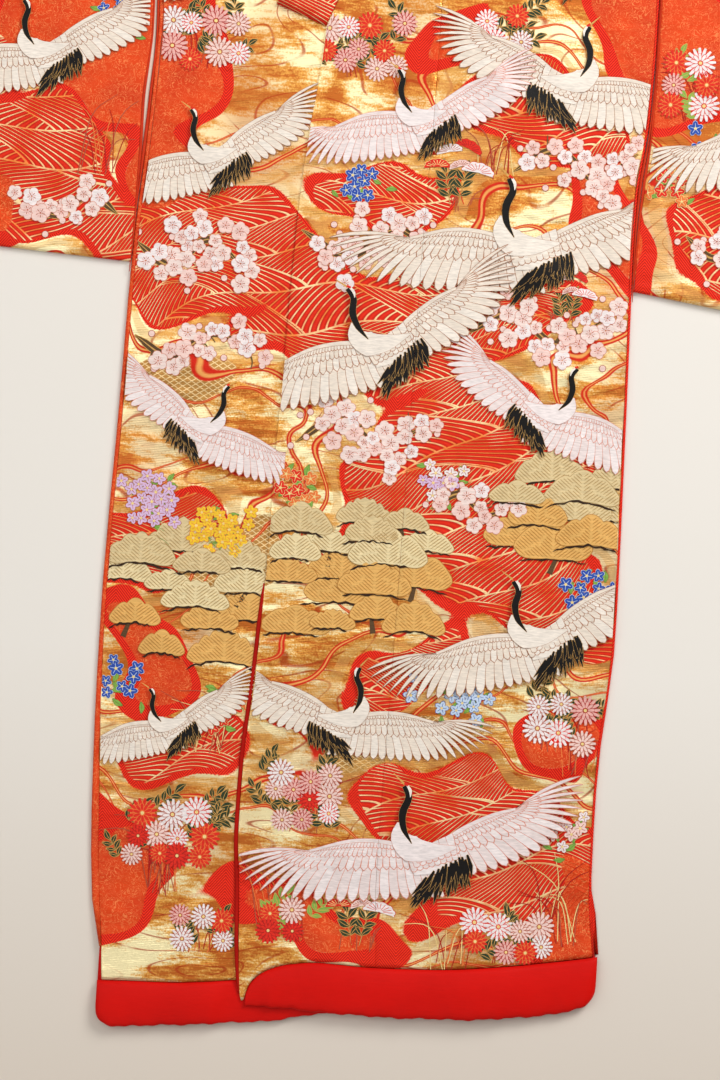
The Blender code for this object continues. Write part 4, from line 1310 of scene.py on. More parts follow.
def wing(art, move, bone, angles, lengths, count, bend, dyes, line, lift, half_line):
    """Flight feathers that turn from the wing's tip to the body, then tiers of coverts."""
    places, _ = spline(bone, 60)
    for tier, (part, many) in enumerate(((1.0, 1.0), (0.50, 1.15), (0.27, 1.5), (0.12, 1.9))):
        share = np.linspace(0, 1, round(count * many))
        at = 1 - 0.97 * share**1.3
        roots = np.stack([np.interp(at, np.linspace(0, 1, 61), places[:, k]) for k in (0, 1)],
                         axis=1)
        angle = np.radians(angles[0] + (angles[1] - angles[0]) * share**0.9)
        ray = np.stack([np.cos(angle), np.sin(angle)], axis=1)
        reach = np.interp(share, np.linspace(0, 1, len(lengths)), lengths)[:, None]
        if tier:
            reach = reach * (0.75 + 0.25 * np.sin(math.pi * share)[:, None])
            sharp = np.zeros_like(share)
        else:
            sharp = 1 - smooth((share - 0.18) / 0.30)
        tips = roots + ray * reach * part
        feather_fan(art, move, roots - ray * 1.5, tips, bend, lift + 0.18 * tier, dyes, line,
                    half_line * (1 if tier < 2 else 0.85), sharp)
    edge = places[::4] + ray[0] * 0.5
    art.edged(move(edge), [2.6, 2.4, 2.0, 1.4], lift + 0.74, dyes[0], line, 0.4, 16)


def crane(art, rng, x, y, size, turn, flip=1):
    """A crane in flight, seen from the side with both wings spread."""
    move = local_place(x, y, size, turn, flip)
    lift = 2.0 + 1.8 * (art.cranes % 2)
    art.cranes += 1
    # Every third crane is tinted pink, with redder outlines.
    tinted = art.cranes % 3 == 2
    main, pale = ("mist", "cool") if tinted else ("feather", "down")
    dyes = [DYES[k] for k in (main, pale, main)]
    line = DYES["vein" if tinted else "quill"]
    half_line = 0.42
    wave = rng.uniform(-7, 7)
    swing = rng.uniform(-4, 4)
    wing(art, move, [(24, 2), (58, 34 + wave), (98, 60 + wave), (132, 74 + wave)],
         (34 + swing, -66), (104, 108, 96, 74, 46), 20, 0.05, dyes, line, lift, half_line)
    wing(art, move, [(20, -12), (-34, 2 - wave / 2), (-92, -2 - wave), (-150, -24 - wave)],
         (192 + swing, 300), (112, 116, 98, 80, 62), 23, -0.06, dyes, line, lift + 0.06, half_line)
    # Black plumes over the rump, in rows of curved pointed blades.
    for row in range(4):
        for k in range(11):
            rx = 14 + 5.2 * k + 2.0 * row + rng.uniform(-1.5, 1.5)
            ry = -58 + 5.0 * k + 6.2 * row + rng.uniform(-1.5, 1.5) - 0.10 * k * k
            lean = math.radians(-112 + 5.0 * k - 4 * row + rng.uniform(-7, 7))
            long = 29 + rng.uniform(-3, 5) + 0.6 * (3 - row)
            path = [(rx, ry),
                    (rx + long * 0.5 * math.cos(lean) + 1.8, ry + long * 0.5 * math.sin(lean)),
                    (rx + long * math.cos(lean), ry + long * math.sin(lean))]
            art.edged(move(path), [1.4 * size, 2.9 * size, 0.25], lift + 0.95 + 0.07 * row,
                      DYES["jet"], DYES["sand"], 0.28, 4)
    art.ribbon(move([(0, -34), (32, -20), (64, -4)]), [5 * size, 12 * size, 5 * size],
               lift + 0.93, DYES[pale], 6)
    # Scaled back, its rows lapping upwards.
    for row in range(4):
        across = np.linspace(0, 1, 8 - row)[:, None]
        roots = np.array((-4.0 + 3 * row, -20 + 7 * row)) + across * (56 - 6 * row, 24)
        ray = np.array((math.cos(-1.15), math.sin(-1.15)))
        feather_fan(art, move, roots, roots + ray * 15, 0.0, lift + 1.05 + 0.07 * row, dyes, line,
                    0.36, np.zeros(len(roots)))
    art.edged(move([(-27, 33), (-26, 13), (-8, -1), (22, -1), (56, 9)]),
              [5 * size, 13 * size, 19 * size, 12 * size, 1.5 * size], lift + 1.38,
              DYES[pale], line, 0.3, 16)
    bow = rng.uniform(-4, 4)
    art.edged(move([(-8, 6), (-22, 26), (-27 + bow / 2, 48), (-22 + bow, 70),
                    (-30 + bow, 86)]),
              [0.3, 4.2 * size, 5.4 * size, 4.8 * size, 3.6 * size], lift + 1.5,
              DYES["jet"], DYES["sand"], 0.25, 16)
    art.ribbon(move([(-20 + bow, 71), (-21 + bow, 80), (-27 + bow, 88)]),
               [0.3, 2.4 * size, 1.4 * size], lift + 1.62, DYES["white"], 5)
    art.ribbon(move([(-25 + bow, 87), (-31 + bow, 90)]), [1.4 * size, 2.0 * size], lift + 1.7,
               DYES["red"], 2)
    art.ribbon(move([(-30 + bow, 88), (-48 + bow, 102)]), [1.7 * size, 0.3], lift + 1.66,
               DYES["gold"], 4)


def pine_pad(art, rng, x, y, wide, high, fill, vein, lift):
    """A domed pad with a scalloped edge, its needles in nested chevrons, over a jagged branch."""
    half, arch = wide / 2, rng.uniform(0.08, 0.30) * high
    lobes = rng.choice((3, 5, 7))

    def edges(u):
        """The pad's lower and upper edge at a share of its half width."""
        end = 0.34 * high * u**6
        low = y - arch * u * u + end
        scallop = 0.80 + 0.20 * np.abs(np.sin(lobes * math.pi * (u + 1) / 2)) ** 0.6
        round_in = (1 - np.abs(u) ** 2.8) ** 0.5
        return low, low + (0.72 * round_in + 0.28 * (1 - u * u)) * high * scallop

    u = np.sin(np.linspace(-math.pi / 2, math.pi / 2, 37))
    low, top = edges(u)
    up_share = np.linspace(0, 1, 7)[:, None]
    for rim, colour, up in ((0.55, vein, 0.0), (-0.1, fill, 0.07)):
        across = np.tile(x + u * (half + rim), (7, 1))
        upward = low - rim + (top - low + 2 * rim) * up_share
        art.sheet(np.stack([across, upward], axis=2), lift + up, DYES[colour])
    share = np.linspace(0.03, 0.97, 48)
    low, top = edges(share)
    for side in (-1, 1):
        for level in np.arange(y - half, y + high, 4.4):
            line = level + share * half * 0.82
            held = share[(line > low + 1.8) & (line < top - 2.4)] * half
            if held.size < 2 or held[-1] - held[0] < 4:
                continue
            cuts = [held[0], held[-1]]
            if cuts[1] - cuts[0] > 17:
                cut = cuts[0] + (cuts[1] - cuts[0]) * rng.uniform(0.42, 0.58)
                cuts = [cuts[0], cut - 1.2, cut + 1.2, cuts[1]]
            for start, end in zip(cuts[::2], cuts[1::2]):
                art.ribbon([(x + side * q, level + q * 0.82) for q in (start, end)],
                           [0.25, 0.62, 0.4], lift + 0.14, DYES[vein], 3)
    places = [(x + half * q, y - 1.0 - arch * q * q + rng.uniform(-1.5, 1.5))
              for q in np.linspace(rng.uniform(-1.1, -0.8), rng.uniform(0.5, 1.0), 16)]
    art.ribbon(places, [0.2, *(rng.uniform(0.5, 1.6) for _ in range(14)), 0.2], lift + 0.2,
               DYES["ink"], 30)


def pine_grove(art, rng, x, y, wide, high, count, colours):
    """Pads scattered over an oval from the back, above, to the front; nearer ones lap over."""
    def pick():
        u, v = rng.uniform(-1, 1), rng.uniform(-1, 1)
        return x + u * wide / 2 * math.sqrt(max(1 - 0.55 * v * v, 0.1)), y + v * high / 2, 23

    spots = scattered(count * 40, count, 1.0, pick, 46 / 22)
    spots.sort(key=lambda spot: -spot[1])
    for k, (px, py, _) in enumerate(spots):
        share = k / max(len(spots) - 1, 1)
        kind = colours[min(int(share * len(colours)), len(colours) - 1)]
        fill, vein = {"khaki": ("khaki", "reed"), "gold": ("honey", "amber"),
                      "cream": ("cream", "reed")}[kind]
        if k % 4 == 1:
            foot = [(px + rng.uniform(-8, 8), py + 3), (px + rng.uniform(-14, 2), py - 18)]
            art.ribbon(foot, [2.0, 3.4], 0.55, DYES["bark"], 3)
        size = rng.uniform(54, 96)
        pine_pad(art, rng, px, py, size, size * rng.uniform(0.38, 0.50), fill, vein,
                 0.5 + 0.32 * (k % 4))


def plum(art, rng, x, y, reach, lift):
    """A blossom of five outlined petals, each lapping over the last, round a dotted heart."""
    turn = rng.uniform(0, 6.28)
    fill = rng.choice(("pink", "petal", "petal", "cool"))
    for k in range(5):
        a = turn + 2 * math.pi * k / 5
        c, s = math.cos(a), math.sin(a)
        for r, colour, up in ((reach * 0.47, "vein", 0.0), (reach * 0.47 - 0.62, fill, 0.09)):
            art.round_shape(x + c * reach * 0.5, y + s * reach * 0.5, r, lift + up + 0.03 * k,
                            DYES[colour], 11)
    for k in range(10):
        a = turn + 2 * math.pi * (k + 0.5) / 10
        c, s = math.cos(a), math.sin(a)
        art.ribbon([(x + c * reach * 0.16, y + s * reach * 0.16),
                    (x + c * reach * 0.42, y + s * reach * 0.42)], [0.28, 0.5], lift + 0.32,
                   DYES["rust" if k % 2 else "blush"], 1)


def plum_bough(art, rng, path, width, spread, blossoms, buds):
    """A twisted bough with twigs, crowded blossoms and a few buds."""
    lift = 0.45
    places, ahead = spline(path, 40)
    gnarls = [width * k for k in (0.1, 0.95, 1, 0.95, 1.05, 0.9, 0.95, 0.75, 0.6, 0.15)]
    art.edged(path, gnarls, lift, DYES["bark"], DYES["gold"], 0.7, 30)
    art.ribbon(path, [0.2, width * 0.25, width * 0.2, width * 0.12, 0.3], lift + 0.2,
               DYES["sand"], 30)
    for k in range(6):
        at = rng.randrange(6, 40)
        lean = math.atan2(ahead[at][1], ahead[at][0]) + rng.choice((-1, 1)) * rng.uniform(0.6, 1.3)
        long = rng.uniform(0.5, 1.0) * spread
        end = places[at] + np.array((math.cos(lean), math.sin(lean))) * long
        middle = (places[at] + end) / 2 + (rng.uniform(-5, 5), rng.uniform(-5, 5))
        art.ribbon([places[at], middle, end], [width * 0.3, width * 0.2, 0.5], lift + 0.05,
                   DYES["olive"], 8)

    def pick():
        at = places[rng.randrange(8, 41)]
        return (at[0] + rng.gauss(0, spread * 0.46), at[1] + rng.gauss(0, spread * 0.40),
                rng.uniform(9.0, 13.0))

    count = round(1.45 * blossoms)
    for k, (x, y, reach) in enumerate(scattered(count * 14, count, 0.62, pick)):
        plum(art, rng, x, y, reach, lift + 0.3 + 0.27 * (k % 3))
    for _ in range(buds):
        at = places[rng.randrange(2, 41)]
        x, y = at[0] + rng.gauss(0, spread * 0.8), at[1] + rng.gauss(0, spread * 0.7)
        art.round_shape(x, y, 4.4, lift + 0.3, DYES["rust"], 9)
        art.round_shape(x, y, 3.7, lift + 0.42, DYES["pink"], 9)


def mum(art, rng, x, y, reach, fill, line, lift):
    """A chrysanthemum of narrow petals round a small heart."""
    turn = rng.uniform(0, 6.28)
    art.round_shape(x, y, reach * 0.84, lift, DYES[line], 16, turn)
    for size, many, up in ((1.0, 16, 0.12), (0.62, 10, 0.24)):
        for k in range(many):
            a = turn + size + 2 * math.pi * k / many
            c, s = math.cos(a) * reach * size, math.sin(a) * reach * size
            wide = math.pi * reach * size / many * 0.80
            path = [(x + c * 0.16, y + s * 0.16), (x + c * 0.62, y + s * 0.62), (x + c, y + s)]
            if size < 1:
                art.ribbon(path, [0.5, wide * 0.74 + 0.4, wide * 0.45 + 0.4], lift + up - 0.06,
                           DYES[line], 3, 0.3)
            art.ribbon(path, [0.3, wide * 0.74, wide * 0.45], lift + up, DYES[fill], 3)
    art.round_shape(x, y, reach * 0.19, lift + 0.32, DYES[line], 8)
    art.round_shape(x, y, reach * 0.12, lift + 0.4, DYES["straw"], 8)


def leaf(art, x, y, long, lean, fill, line, lift):
    a = math.radians(lean)
    ray = np.array((math.cos(a), math.sin(a))) * long
    bow = np.array((-ray[1], ray[0])) * 0.08
    start = np.array((x, y))
    path = [start, start + ray * 0.5 + bow, start + ray]
    art.edged(path, [0.4, long * 0.26, 0.3], lift, DYES[fill], DYES[line], 0.5, 5)
    art.ribbon(path, [0.3, 0.3, 0.2], lift + 0.22, DYES[line], 3)


def leaf_spray(art, rng, x, y, long, lean, fill, line, lift):
    """Three pairs of leaves spaced along a short line, and one at its end."""
    a = math.radians(lean)
    for k in range(3):
        sx, sy = x + math.cos(a) * long * 0.55 * k, y + math.sin(a) * long * 0.55 * k
        for sign in (-1, 1):
            leaf(art, sx, sy, long * rng.uniform(0.75, 1.0), lean + sign * rng.uniform(42, 60),
                 fill, line, lift + 0.05 * k)
    leaf(art, x + math.cos(a) * long * 1.5, y + math.sin(a) * long * 1.5, long, lean, fill, line,
         lift + 0.2)


def star_flower(art, rng, x, y, reach, fill, line, lift):
    """A small flower of five pointed petals, each with a fine midrib."""
    turn = rng.uniform(0, 6.28)

    def petals(rim):
        return lambda a: (reach + rim) * (1 - 0.42 * (1 - np.abs(np.cos(5 * a / 2))) ** 0.9)

    art.round_shape(x, y, petals(0.6), lift, DYES[line], 20, turn)
    art.round_shape(x, y, petals(-0.1), lift + 0.12, DYES[fill], 20, turn)
    for k in range(5):
        a = turn + 2 * math.pi * k / 5
        art.ribbon([(x, y), (x + math.cos(a) * reach * 0.7, y + math.sin(a) * reach * 0.7)],
                   [0.4, 0.25], lift + 0.2, DYES[line], 1)
    art.round_shape(x, y, reach * 0.2, lift + 0.24, DYES["straw"], 6)


def grass(art, rng, x, y, count, high, colours, lift=0.45):
    """Thin arching blades from one loose tuft."""
    for k in range(count):
        lean = rng.uniform(-1, 1)
        tall = high * rng.uniform(0.5, 1.0)
        droop = lean * tall * 0.9
        root = x + rng.uniform(-22, 22)
        path = [(root, y + rng.uniform(-6, 6)), (root + droop * 0.3, y + tall * 0.62),
                (root + droop, y + tall * rng.uniform(0.6, 0.95))]
        art.ribbon(path, [0.5, 0.55, 0.25], lift + 0.02 * k, DYES[rng.choice(colours)], 10)


def mum_bed(art, rng, x, y, wide, high, count, leaves="leaf"):
    """Chrysanthemums in red, white and pink among dark leaves and grass."""
    grass(art, rng, x, y - high * 0.6, 16, high * 1.5, ("orange", "rust", "deep"))
    for _ in range(count):
        leaf_spray(art, rng, x + rng.uniform(-0.6, 0.6) * wide, y + rng.uniform(-0.6, 0.5) * high,
                   rng.uniform(13, 18), rng.uniform(20, 160), leaves, "gold", 0.65)
    spots = scattered(count * 30, count, 0.68, lambda: (
        x + rng.uniform(-0.5, 0.5) * wide, y + rng.uniform(-0.5, 0.5) * high,
        rng.uniform(13, 19)))
    for k, (px, py, reach) in enumerate(spots):
        fill, line = rng.choice((("red", "deep"), ("cool", "rust"), ("pink", "rust"),
                                 ("cool", "red"), ("red", "orange"), ("blush", "deep")))
        mum(art, rng, px, py, reach, fill, line, 0.95 + 0.3 * (k % 3))


def mum_stand(art, rng, x, y, size):
    """Chrysanthemums seen from the side: half-round heads over paired dark leaves."""
    lift = 0.6
    for k, lean in enumerate((102, 78)):
        foot = x + (k - 0.5) * 9 * size
        ray = math.radians(lean)
        art.ribbon([(foot, y - 38 * size), (foot + math.cos(ray) * 54 * size, y + 12 * size)],
                   [0.5, 0.4], lift + 0.02, DYES["sand"], 4)
        leaf_spray(art, rng, foot + math.cos(ray) * 8 * size, y - 26 * size, 18 * size, lean,
                   "leaf", "gold", lift)
    grass(art, rng, x, y - 40 * size, 8, 34 * size, ("red", "rust"), lift - 0.1)
    for k, (dx, dy, reach, lean, fill, line) in enumerate((
        (-9, 26, 16, 12, "cool", "rust"), (13, 31, 17, -24, "red", "deep"),
        (-23, 7, 16, 4, "red", "straw"), (26, 3, 20, -10, "cool", "red"),
        (4, 9, 13, 16, "pink", "rust"),
    )):
        tall = reach * size
        angle = np.linspace(-0.12, math.pi + 0.12, 27)
        move = local_place(x + dx * size, y + dy * size, 1.0, lean)
        for rim, colour, up in ((0.6, line, 0.0), (-0.1, fill, 0.08)):
            edge = (tall + rim) * (0.9 + 0.1 * np.abs(np.sin(5.5 * angle)))
            share = np.linspace(0.03, 1, 4)[:, None]
            points = np.stack([share * edge * np.cos(angle), share * edge * 0.62 * np.sin(angle)],
                              axis=2)
            art.sheet(move(points), lift + 0.3 + 0.2 * k + up, DYES[colour])
        for a in np.linspace(0.25, math.pi - 0.25, 9):
            art.ribbon(move([(math.cos(a) * tall * r, math.sin(a) * tall * 0.62 * r)
                             for r in (0.25, 0.82)]), [0.25, 0.4], lift + 0.45 + 0.2 * k,
                       DYES[line], 2)


def small_bunch(art, rng, x, y, spread, count, fill, line):
    """Small flowers, in one colour or in a few by chance, over green leaves."""
    for _ in range(count):
        leaf(art, x + rng.gauss(0, spread), y + rng.gauss(0, spread), rng.uniform(10, 15),
             rng.uniform(0, 360), "green", "moss", 0.5)
    spots = scattered(count * 30, count, 1.0, lambda: (
        x + rng.gauss(0, spread * 0.8), y + rng.gauss(0, spread * 0.65), 5.1))
    for k, (px, py, _) in enumerate(spots):
        star_flower(art, rng, px, py, 8.5 * rng.uniform(0.85, 1.15),
                    fill if isinstance(fill, str) else rng.choice(fill), line,
                    0.8 + 0.25 * (k % 2))


def trim(bm, axis, line, keep):
    """Cuts art along a line, such as a seam, and keeps the side above it (1) or below it (-1)."""
    def shift(sign):
        places = np.array([corner.co for corner in bm.verts])
        for corner, off in zip(bm.verts, line(places[:, 1 - axis])):
            corner.co[axis] += sign * off

    normal = [0.0, 0.0, 0.0]
    normal[axis] = keep
    shift(-1)
    bmesh.ops.bisect_plane(bm, geom=[*bm.verts, *bm.edges, *bm.faces], dist=0.0005,
                           plane_co=(0, 0, 0), plane_no=normal, clear_inner=True)
    shift(1)


def lay_motifs(art, name, box, inner, outer, low, height):
    """Cuts art to one panel's edges, lays it on the panel and makes it a piece. inner and outer
    give the panel's side edges at a height up the garment, low its lower edge across it."""
    bm = art.joined(box)
    side = 1 if outer(box[2]) > inner(box[2]) else -1
    trim(bm, 0, inner, side)
    trim(bm, 0, outer, -side)
    trim(bm, 1, low, 1)
    places = np.array([corner.co for corner in bm.verts])
    x, y = places[:, 0], places[:, 1]
    dip = edge_dip(x, inner(y), outer(y))
    for corner, high in zip(bm.verts, height(x, y) + CLOTH / 2 - dip):
        corner.co.z += high
    add_piece(bm, name, ["woven_silk_floats"])


# The motifs of each front, from far to near: what draws it and its place, size and turn.
FRONT_MOTIFS = (
    (grass, -90, 92, 14, 130, ("orange", "rust", "deep")),
    (grass, 250, 98, 16, 120, ("straw", "rust", "deep")),
    (grass, 120, 60, 14, 90, ("straw", "deep", "orange")),
    (grass, 265, 300, 12, 110, ("orange", "rust", "deep")),
    (grass, 120, 1010, 14, 80, ("straw", "rust", "deep")),
    (mum_bed, -46, 1158, 104, 62, 10),
    (mum_bed, 118, 1184, 56, 44, 6),
    (mum_stand, 72, 1008, 1.0),
    (mum_stand, 214, 868, 0.8),
    (mum_stand, 8, 118, 1.0),
    (mum_bed, 236, 362, 66, 54, 8),
    (mum_bed, -66, 252, 84, 60, 10),
    (mum_bed, 186, 98, 88, 42, 8),
    (mum_bed, -76, 104, 50, 30, 4, "green"),
    (plum_bough, ((-108, 930), (-50, 902), (5, 938), (55, 905)), 4.5, 26, 20, 16),
    (plum_bough, ((140, 1015), (190, 1043), (240, 1012), (288, 1045)), 4.5, 26, 16, 14),
    (plum_bough, ((100, 820), (150, 848), (205, 812), (270, 850)), 4.5, 27, 18, 14),
    (plum_bough, ((-100, 676), (-50, 708), (0, 678), (50, 702)), 4.5, 26, 18, 14),
    (plum_bough, ((66, 606), (100, 626), (136, 602), (166, 622)), 4.0, 16, 9, 12),
    (plum_bough, ((96, 1330), (150, 1380), (196, 1352), (262, 1404)), 4.5, 34, 20, 16),
    (plum_bough, ((120, 1690), (180, 1720), (226, 1690), (284, 1740)), 4.5, 34, 18, 14),
    (pine_grove, -22, 512, 200, 150, 17, ("khaki", "cream", "gold", "gold")),
    (pine_grove, 232, 600, 140, 100, 10, ("khaki", "khaki", "gold")),
    (pine_grove, 180, 1500, 190, 90, 12, ("khaki", "gold")),
    (small_bunch, -44, 986, 15, 8, "blue", "sky"),
    (small_bunch, 118, 384, 20, 14, "sky", "blue"),
    (small_bunch, -98, 618, 13, 9, ("red", "orange"), "straw"),
    (small_bunch, 258, 520, 16, 9, "blue", "sky"),
    (small_bunch, 250, 232, 14, 8, ("cool", "pink"), "rust"),
    (small_bunch, 256, 940, 14, 8, ("red", "cool"), "straw"),
    (small_bunch, 76, 640, 16, 10, ("cool", "lilac"), "rust"),
    (crane, 208, 1128, 0.74, 6, -1),
    (crane, 20, 1074, 0.64, 4),
    (crane, 152, 930, 0.86, -6),
    (crane, -14, 800, 0.78, 8),
    (crane, 206, 730, 0.66, -8, -1),
    (crane, 196, 462, 0.76, 4),
    (crane, -16, 352, 0.66, 10, -1),
    (crane, 74, 200, 0.84, -4),
    (crane, 190, 1290, 0.80, -4),
    (crane, 196, 1600, 0.80, 4),
)
UNDER_MOTIFS = (
    (grass, -230, 130, 16, 140, ("orange", "rust", "deep")),
    (grass, -180, 300, 12, 110, ("straw", "rust", "deep")),
    (mum_bed, -226, 198, 96, 70, 12),
    (mum_bed, -238, 1152, 84, 52, 8),
    (mum_bed, -180, 88, 60, 40, 5),
    (plum_bough, ((-306, 905), (-262, 878), (-220, 912), (-178, 884)), 4.5, 28, 18, 14),
    (plum_bough, ((-300, 792), (-256, 770), (-206, 800), (-160, 780)), 4.5, 24, 12, 14),
    (plum_bough, ((-290, 1400), (-240, 1372), (-200, 1402), (-140, 1376)), 4.5, 34, 18, 14),
    (pine_grove, -226, 474, 170, 130, 13, ("khaki", "cream", "gold")),
    (pine_grove, -190, 1520, 180, 90, 12, ("khaki", "gold")),
    (small_bunch, -186, 566, 17, 20, "yellow", "orange"),
    (small_bunch, -268, 596, 17, 20, "lilac", "rust"),
    (small_bunch, -292, 378, 13, 8, "blue", "sky"),
    (small_bunch, -172, 352, 16, 10, ("red", "orange"), "straw"),
    (crane, -226, 1014, 0.62, 5),
    (crane, -208, 690, 0.58, -6, -1),
    (crane, -236, 330, 0.5, 8),
    (crane, -214, 1262, 0.7, 6),
    (crane, -190, 1650, 0.74, -4),
)
SLEEVE_MOTIFS = {
    "right": (
        (grass, -360, 985, 12, 110, ("orange", "rust", "deep")),
        (plum_bough, ((-330, 936), (-366, 958), (-402, 930), (-440, 948)), 4.5, 20, 8, 10),
        (plum_bough, ((-420, 1330), (-470, 1372), (-520, 1342), (-580, 1380)), 4.5, 34, 20, 14),
        (pine_grove, -520, 1260, 180, 90, 12, ("khaki", "gold")),
        (mum_bed, -560, 930, 90, 56, 9),
        (small_bunch, -345, 1180, 18, 9, "blue", "sky"),
        (crane, -436, 1128, 0.66, 2),
        (crane, -450, 1500, 0.86, 4),
        (crane, -480, 1740, 0.8, -4),
    ),
    "left": (
        (plum_bough, ((352, 950), (386, 926), (422, 954), (470, 930)), 4.5, 22, 8, 10),
        (plum_bough, ((400, 1320), (450, 1362), (520, 1330), (580, 1370)), 4.5, 34, 20, 14),
        (pine_grove, 500, 1250, 190, 90, 12, ("khaki", "gold")),
        (mum_bed, 340, 1128, 60, 60, 6, "green"),
        (mum_bed, 560, 900, 90, 56, 9),
        (small_bunch, 392, 1066, 18, 9, "blue", "sky"),
        (small_bunch, 330, 1010, 14, 7, ("red", "orange"), "straw"),
        (crane, 476, 1090, 0.8, 4),
        (crane, 560, 990, 0.6, -6),
        (crane, 450, 1500, 0.86, 4),
        (crane, 480, 1740, 0.8, -4),
    ),
}


def drawn(motifs, seed):
    art, rng = FlatArt(), random.Random(seed)
    for draw, *details in motifs:
        draw(art, rng, *details)
    return art


def finish_of(name):
    """The material of that name, made the first time that it is asked for."""
    look = bpy.context.scene.uchikake_look
    satins = {
        "red_silk_satin": (look.satin_red, "BE0D07", 0.5),
        "red_silk_piping": ("BE160A", "8A0E07", 0.8),
        "orange_silk_piping": ("DC4420", "A01C0C", 0.8),
        "pale_lining_satin": (look.lining_pale, "DCC4B0", 0.3),
    }
    if name in bpy.data.materials:
        return bpy.data.materials[name]
    if name in satins:
        return satin_material(name, *satins[name])
    if name == "woven_silk_floats":
        return silk_material(name)
    return brocade_material(name, look)


class UCHIKAKE_OT_bodies(bpy.types.Operator):
    """Builds both body lengths, back and front"""

    bl_idname = "uchikake.bodies"
    bl_label = "Body lengths"

    def execute(self, context):
        cell = context.scene.uchikake_look.cell / MM
        for side in ("left", "right"):
            add_cloth(body_length(side, cell), "body_length_" + side, "body_" + side)
        return {"FINISHED"}


class UCHIKAKE_OT_gores(bpy.types.Operator):
    """Builds both front gores"""

    bl_idname = "uchikake.gores"
    bl_label = "Front gores"

    def execute(self, context):
        cell = context.scene.uchikake_look.cell / MM
        for side in ("left", "right"):
            gore = gore_length(side, cell if side == "left" else 2.5 * cell)
            add_cloth(gore, "front_gore_" + side, "okumi_" + side)
        return {"FINISHED"}


class UCHIKAKE_OT_sleeves(bpy.types.Operator):
    """Builds both sleeves, their piped open edges and the lining that shows inside them"""

    bl_idname = "uchikake.sleeves"
    bl_label = "Sleeves"

    def execute(self, context):
        cell = context.scene.uchikake_look.cell / MM
        for side, toward in TOWARD.items():
            add_cloth(sleeve_length(side, cell), "sleeve_length_" + side, "sleeve_" + side)
            # Rolled edges on both sides of the open seam. They leave a pale line of lining where
            # it shows, and close the gap elsewhere.
            for piece, table, column, toward_gap, high, foot in (
                ("sleeve_piping_", SLEEVE_EDGES, "_x", -1, SLEEVE_LOW + CLOTH - 0.8,
                 SLEEVE_PIPING_LOW_Y),
                ("body_piping_", SIDES, "_edge", 1, LAYER + CLOTH - 0.1, BODY_PIPING_LOW_Y),
            ):
                places, halves = [], []
                for y in spaced(foot, ARMHOLE_Y, EDGE_STEPS):
                    gap = abs(float(along(SLEEVE_EDGES, side + "_x", y))
                              - float(along(SIDES, side + "_edge", y)))
                    pale = PALE_LINE_LEAST
                    if side == "right":
                        pale = PALE_LINE * float(smooth((y - PALE_LINE_Y) / PALE_LINE_FADE))
                    half = min(max((gap - pale) / 4, PIPING_HALF_WIDE[0]), PIPING_HALF_WIDE[1])
                    x = toward * abs(float(along(table, side + column, y)))
                    places.append((x + toward * toward_gap * half, y, high))
                    halves.append(half)
                add_piece(narrow_tube(places, halves, PIPING_HALF_HIGH), piece + side,
                          ["orange_silk_piping"])
            places = []
            for y in spaced(LINING_LOW_Y, ARMHOLE_Y - 20, EDGE_STEPS):
                inner = float(along(SIDES, side + "_edge", y)) + toward * SIDE_GAP
                places.append((inner + toward * LINING_WIDE / 2, y, LAYER + LINING_THICK / 2))
            lining = add_piece(narrow_tube(places, LINING_WIDE / 2, LINING_THICK / 2, 12),
                               "sleeve_lining_edge_" + side, ["pale_lining_satin"])
            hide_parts("sleeve_lining_" + side)
        return {"FINISHED"}


class UCHIKAKE_OT_collar(bpy.types.Operator):
    """Builds the collar"""

    bl_idname = "uchikake.collar"
    bl_label = "Collar"

    def execute(self, context):
        made = add_piece(collar_length(), "collar_band", ["woven_gold_brocade"])
        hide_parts("collar")
        return {"FINISHED"}


class UCHIKAKE_OT_hem_rolls(bpy.types.Operator):
    """Builds the three padded hem rolls and the rolled lining along the front edge"""

    bl_idname = "uchikake.hem_rolls"
    bl_label = "Hem rolls"

    def execute(self, context):
        first = ROLL_BACK_THICK + SEAM_GAP

        def right_thick(x):
            share = float(smooth((x - SQUASH_X) / SQUASH_FADE))
            return ROLL_FRONT_THICK + (ROLL_SQUASHED - ROLL_FRONT_THICK) * share

        def left_low(x):
            return first + (ROLL_SQUASHED + SEAM_GAP) * float(over_share(x))

        def left_thick(x):
            return ROLL_OVER_THICK * (0.45 + 0.55 * float(smooth((x - THIN_X) / THIN_FADE)))

        inner_end = float(mirrored(FRONT_EDGE, 20)) - 4
        rolls = (
            ("back", BACK_HEM, (ROLL_RIGHT_X, ROLL_BACK_X), lambda x: 0.0,
             lambda x: ROLL_BACK_THICK, ()),
            ("right", RIGHT_HEM, (ROLL_RIGHT_X, inner_end), lambda x: first, right_thick,
             (inner_end,)),
            ("left", LEFT_HEM, (FRONT_CORNER_X, ROLL_LEFT_X), left_low, left_thick,
             (FRONT_CORNER_X,)),
        )
        for seed, (name, *how) in enumerate(rolls):
            made = add_piece(roll_mesh(*how, seed), "padded_hem_" + name, ["red_silk_satin"])
            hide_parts("hem_roll_" + name)
        places = []
        for y in spaced(EDGING_LOW_Y, EDGING_HIGH_Y, EDGE_STEPS):
            edge = float(along(FRONT_EDGE, "x", y)) - SEAM_GAP
            ends = min(y - EDGING_LOW_Y, EDGING_HIGH_Y - y)
            wide = EDGING_WIDE * (0.25 + 0.75 * float(smooth(ends / 60)))
            places.append((edge - wide / 2, y, float(left_base(edge, y)) + EDGING_THICK / 2))
        made = add_piece(narrow_tube(places, EDGING_WIDE / 2, EDGING_THICK / 2 + 0.3, 12),
                         "front_edge_roll", ["red_silk_piping"])
        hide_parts("front_edging_left")
        return {"FINISHED"}


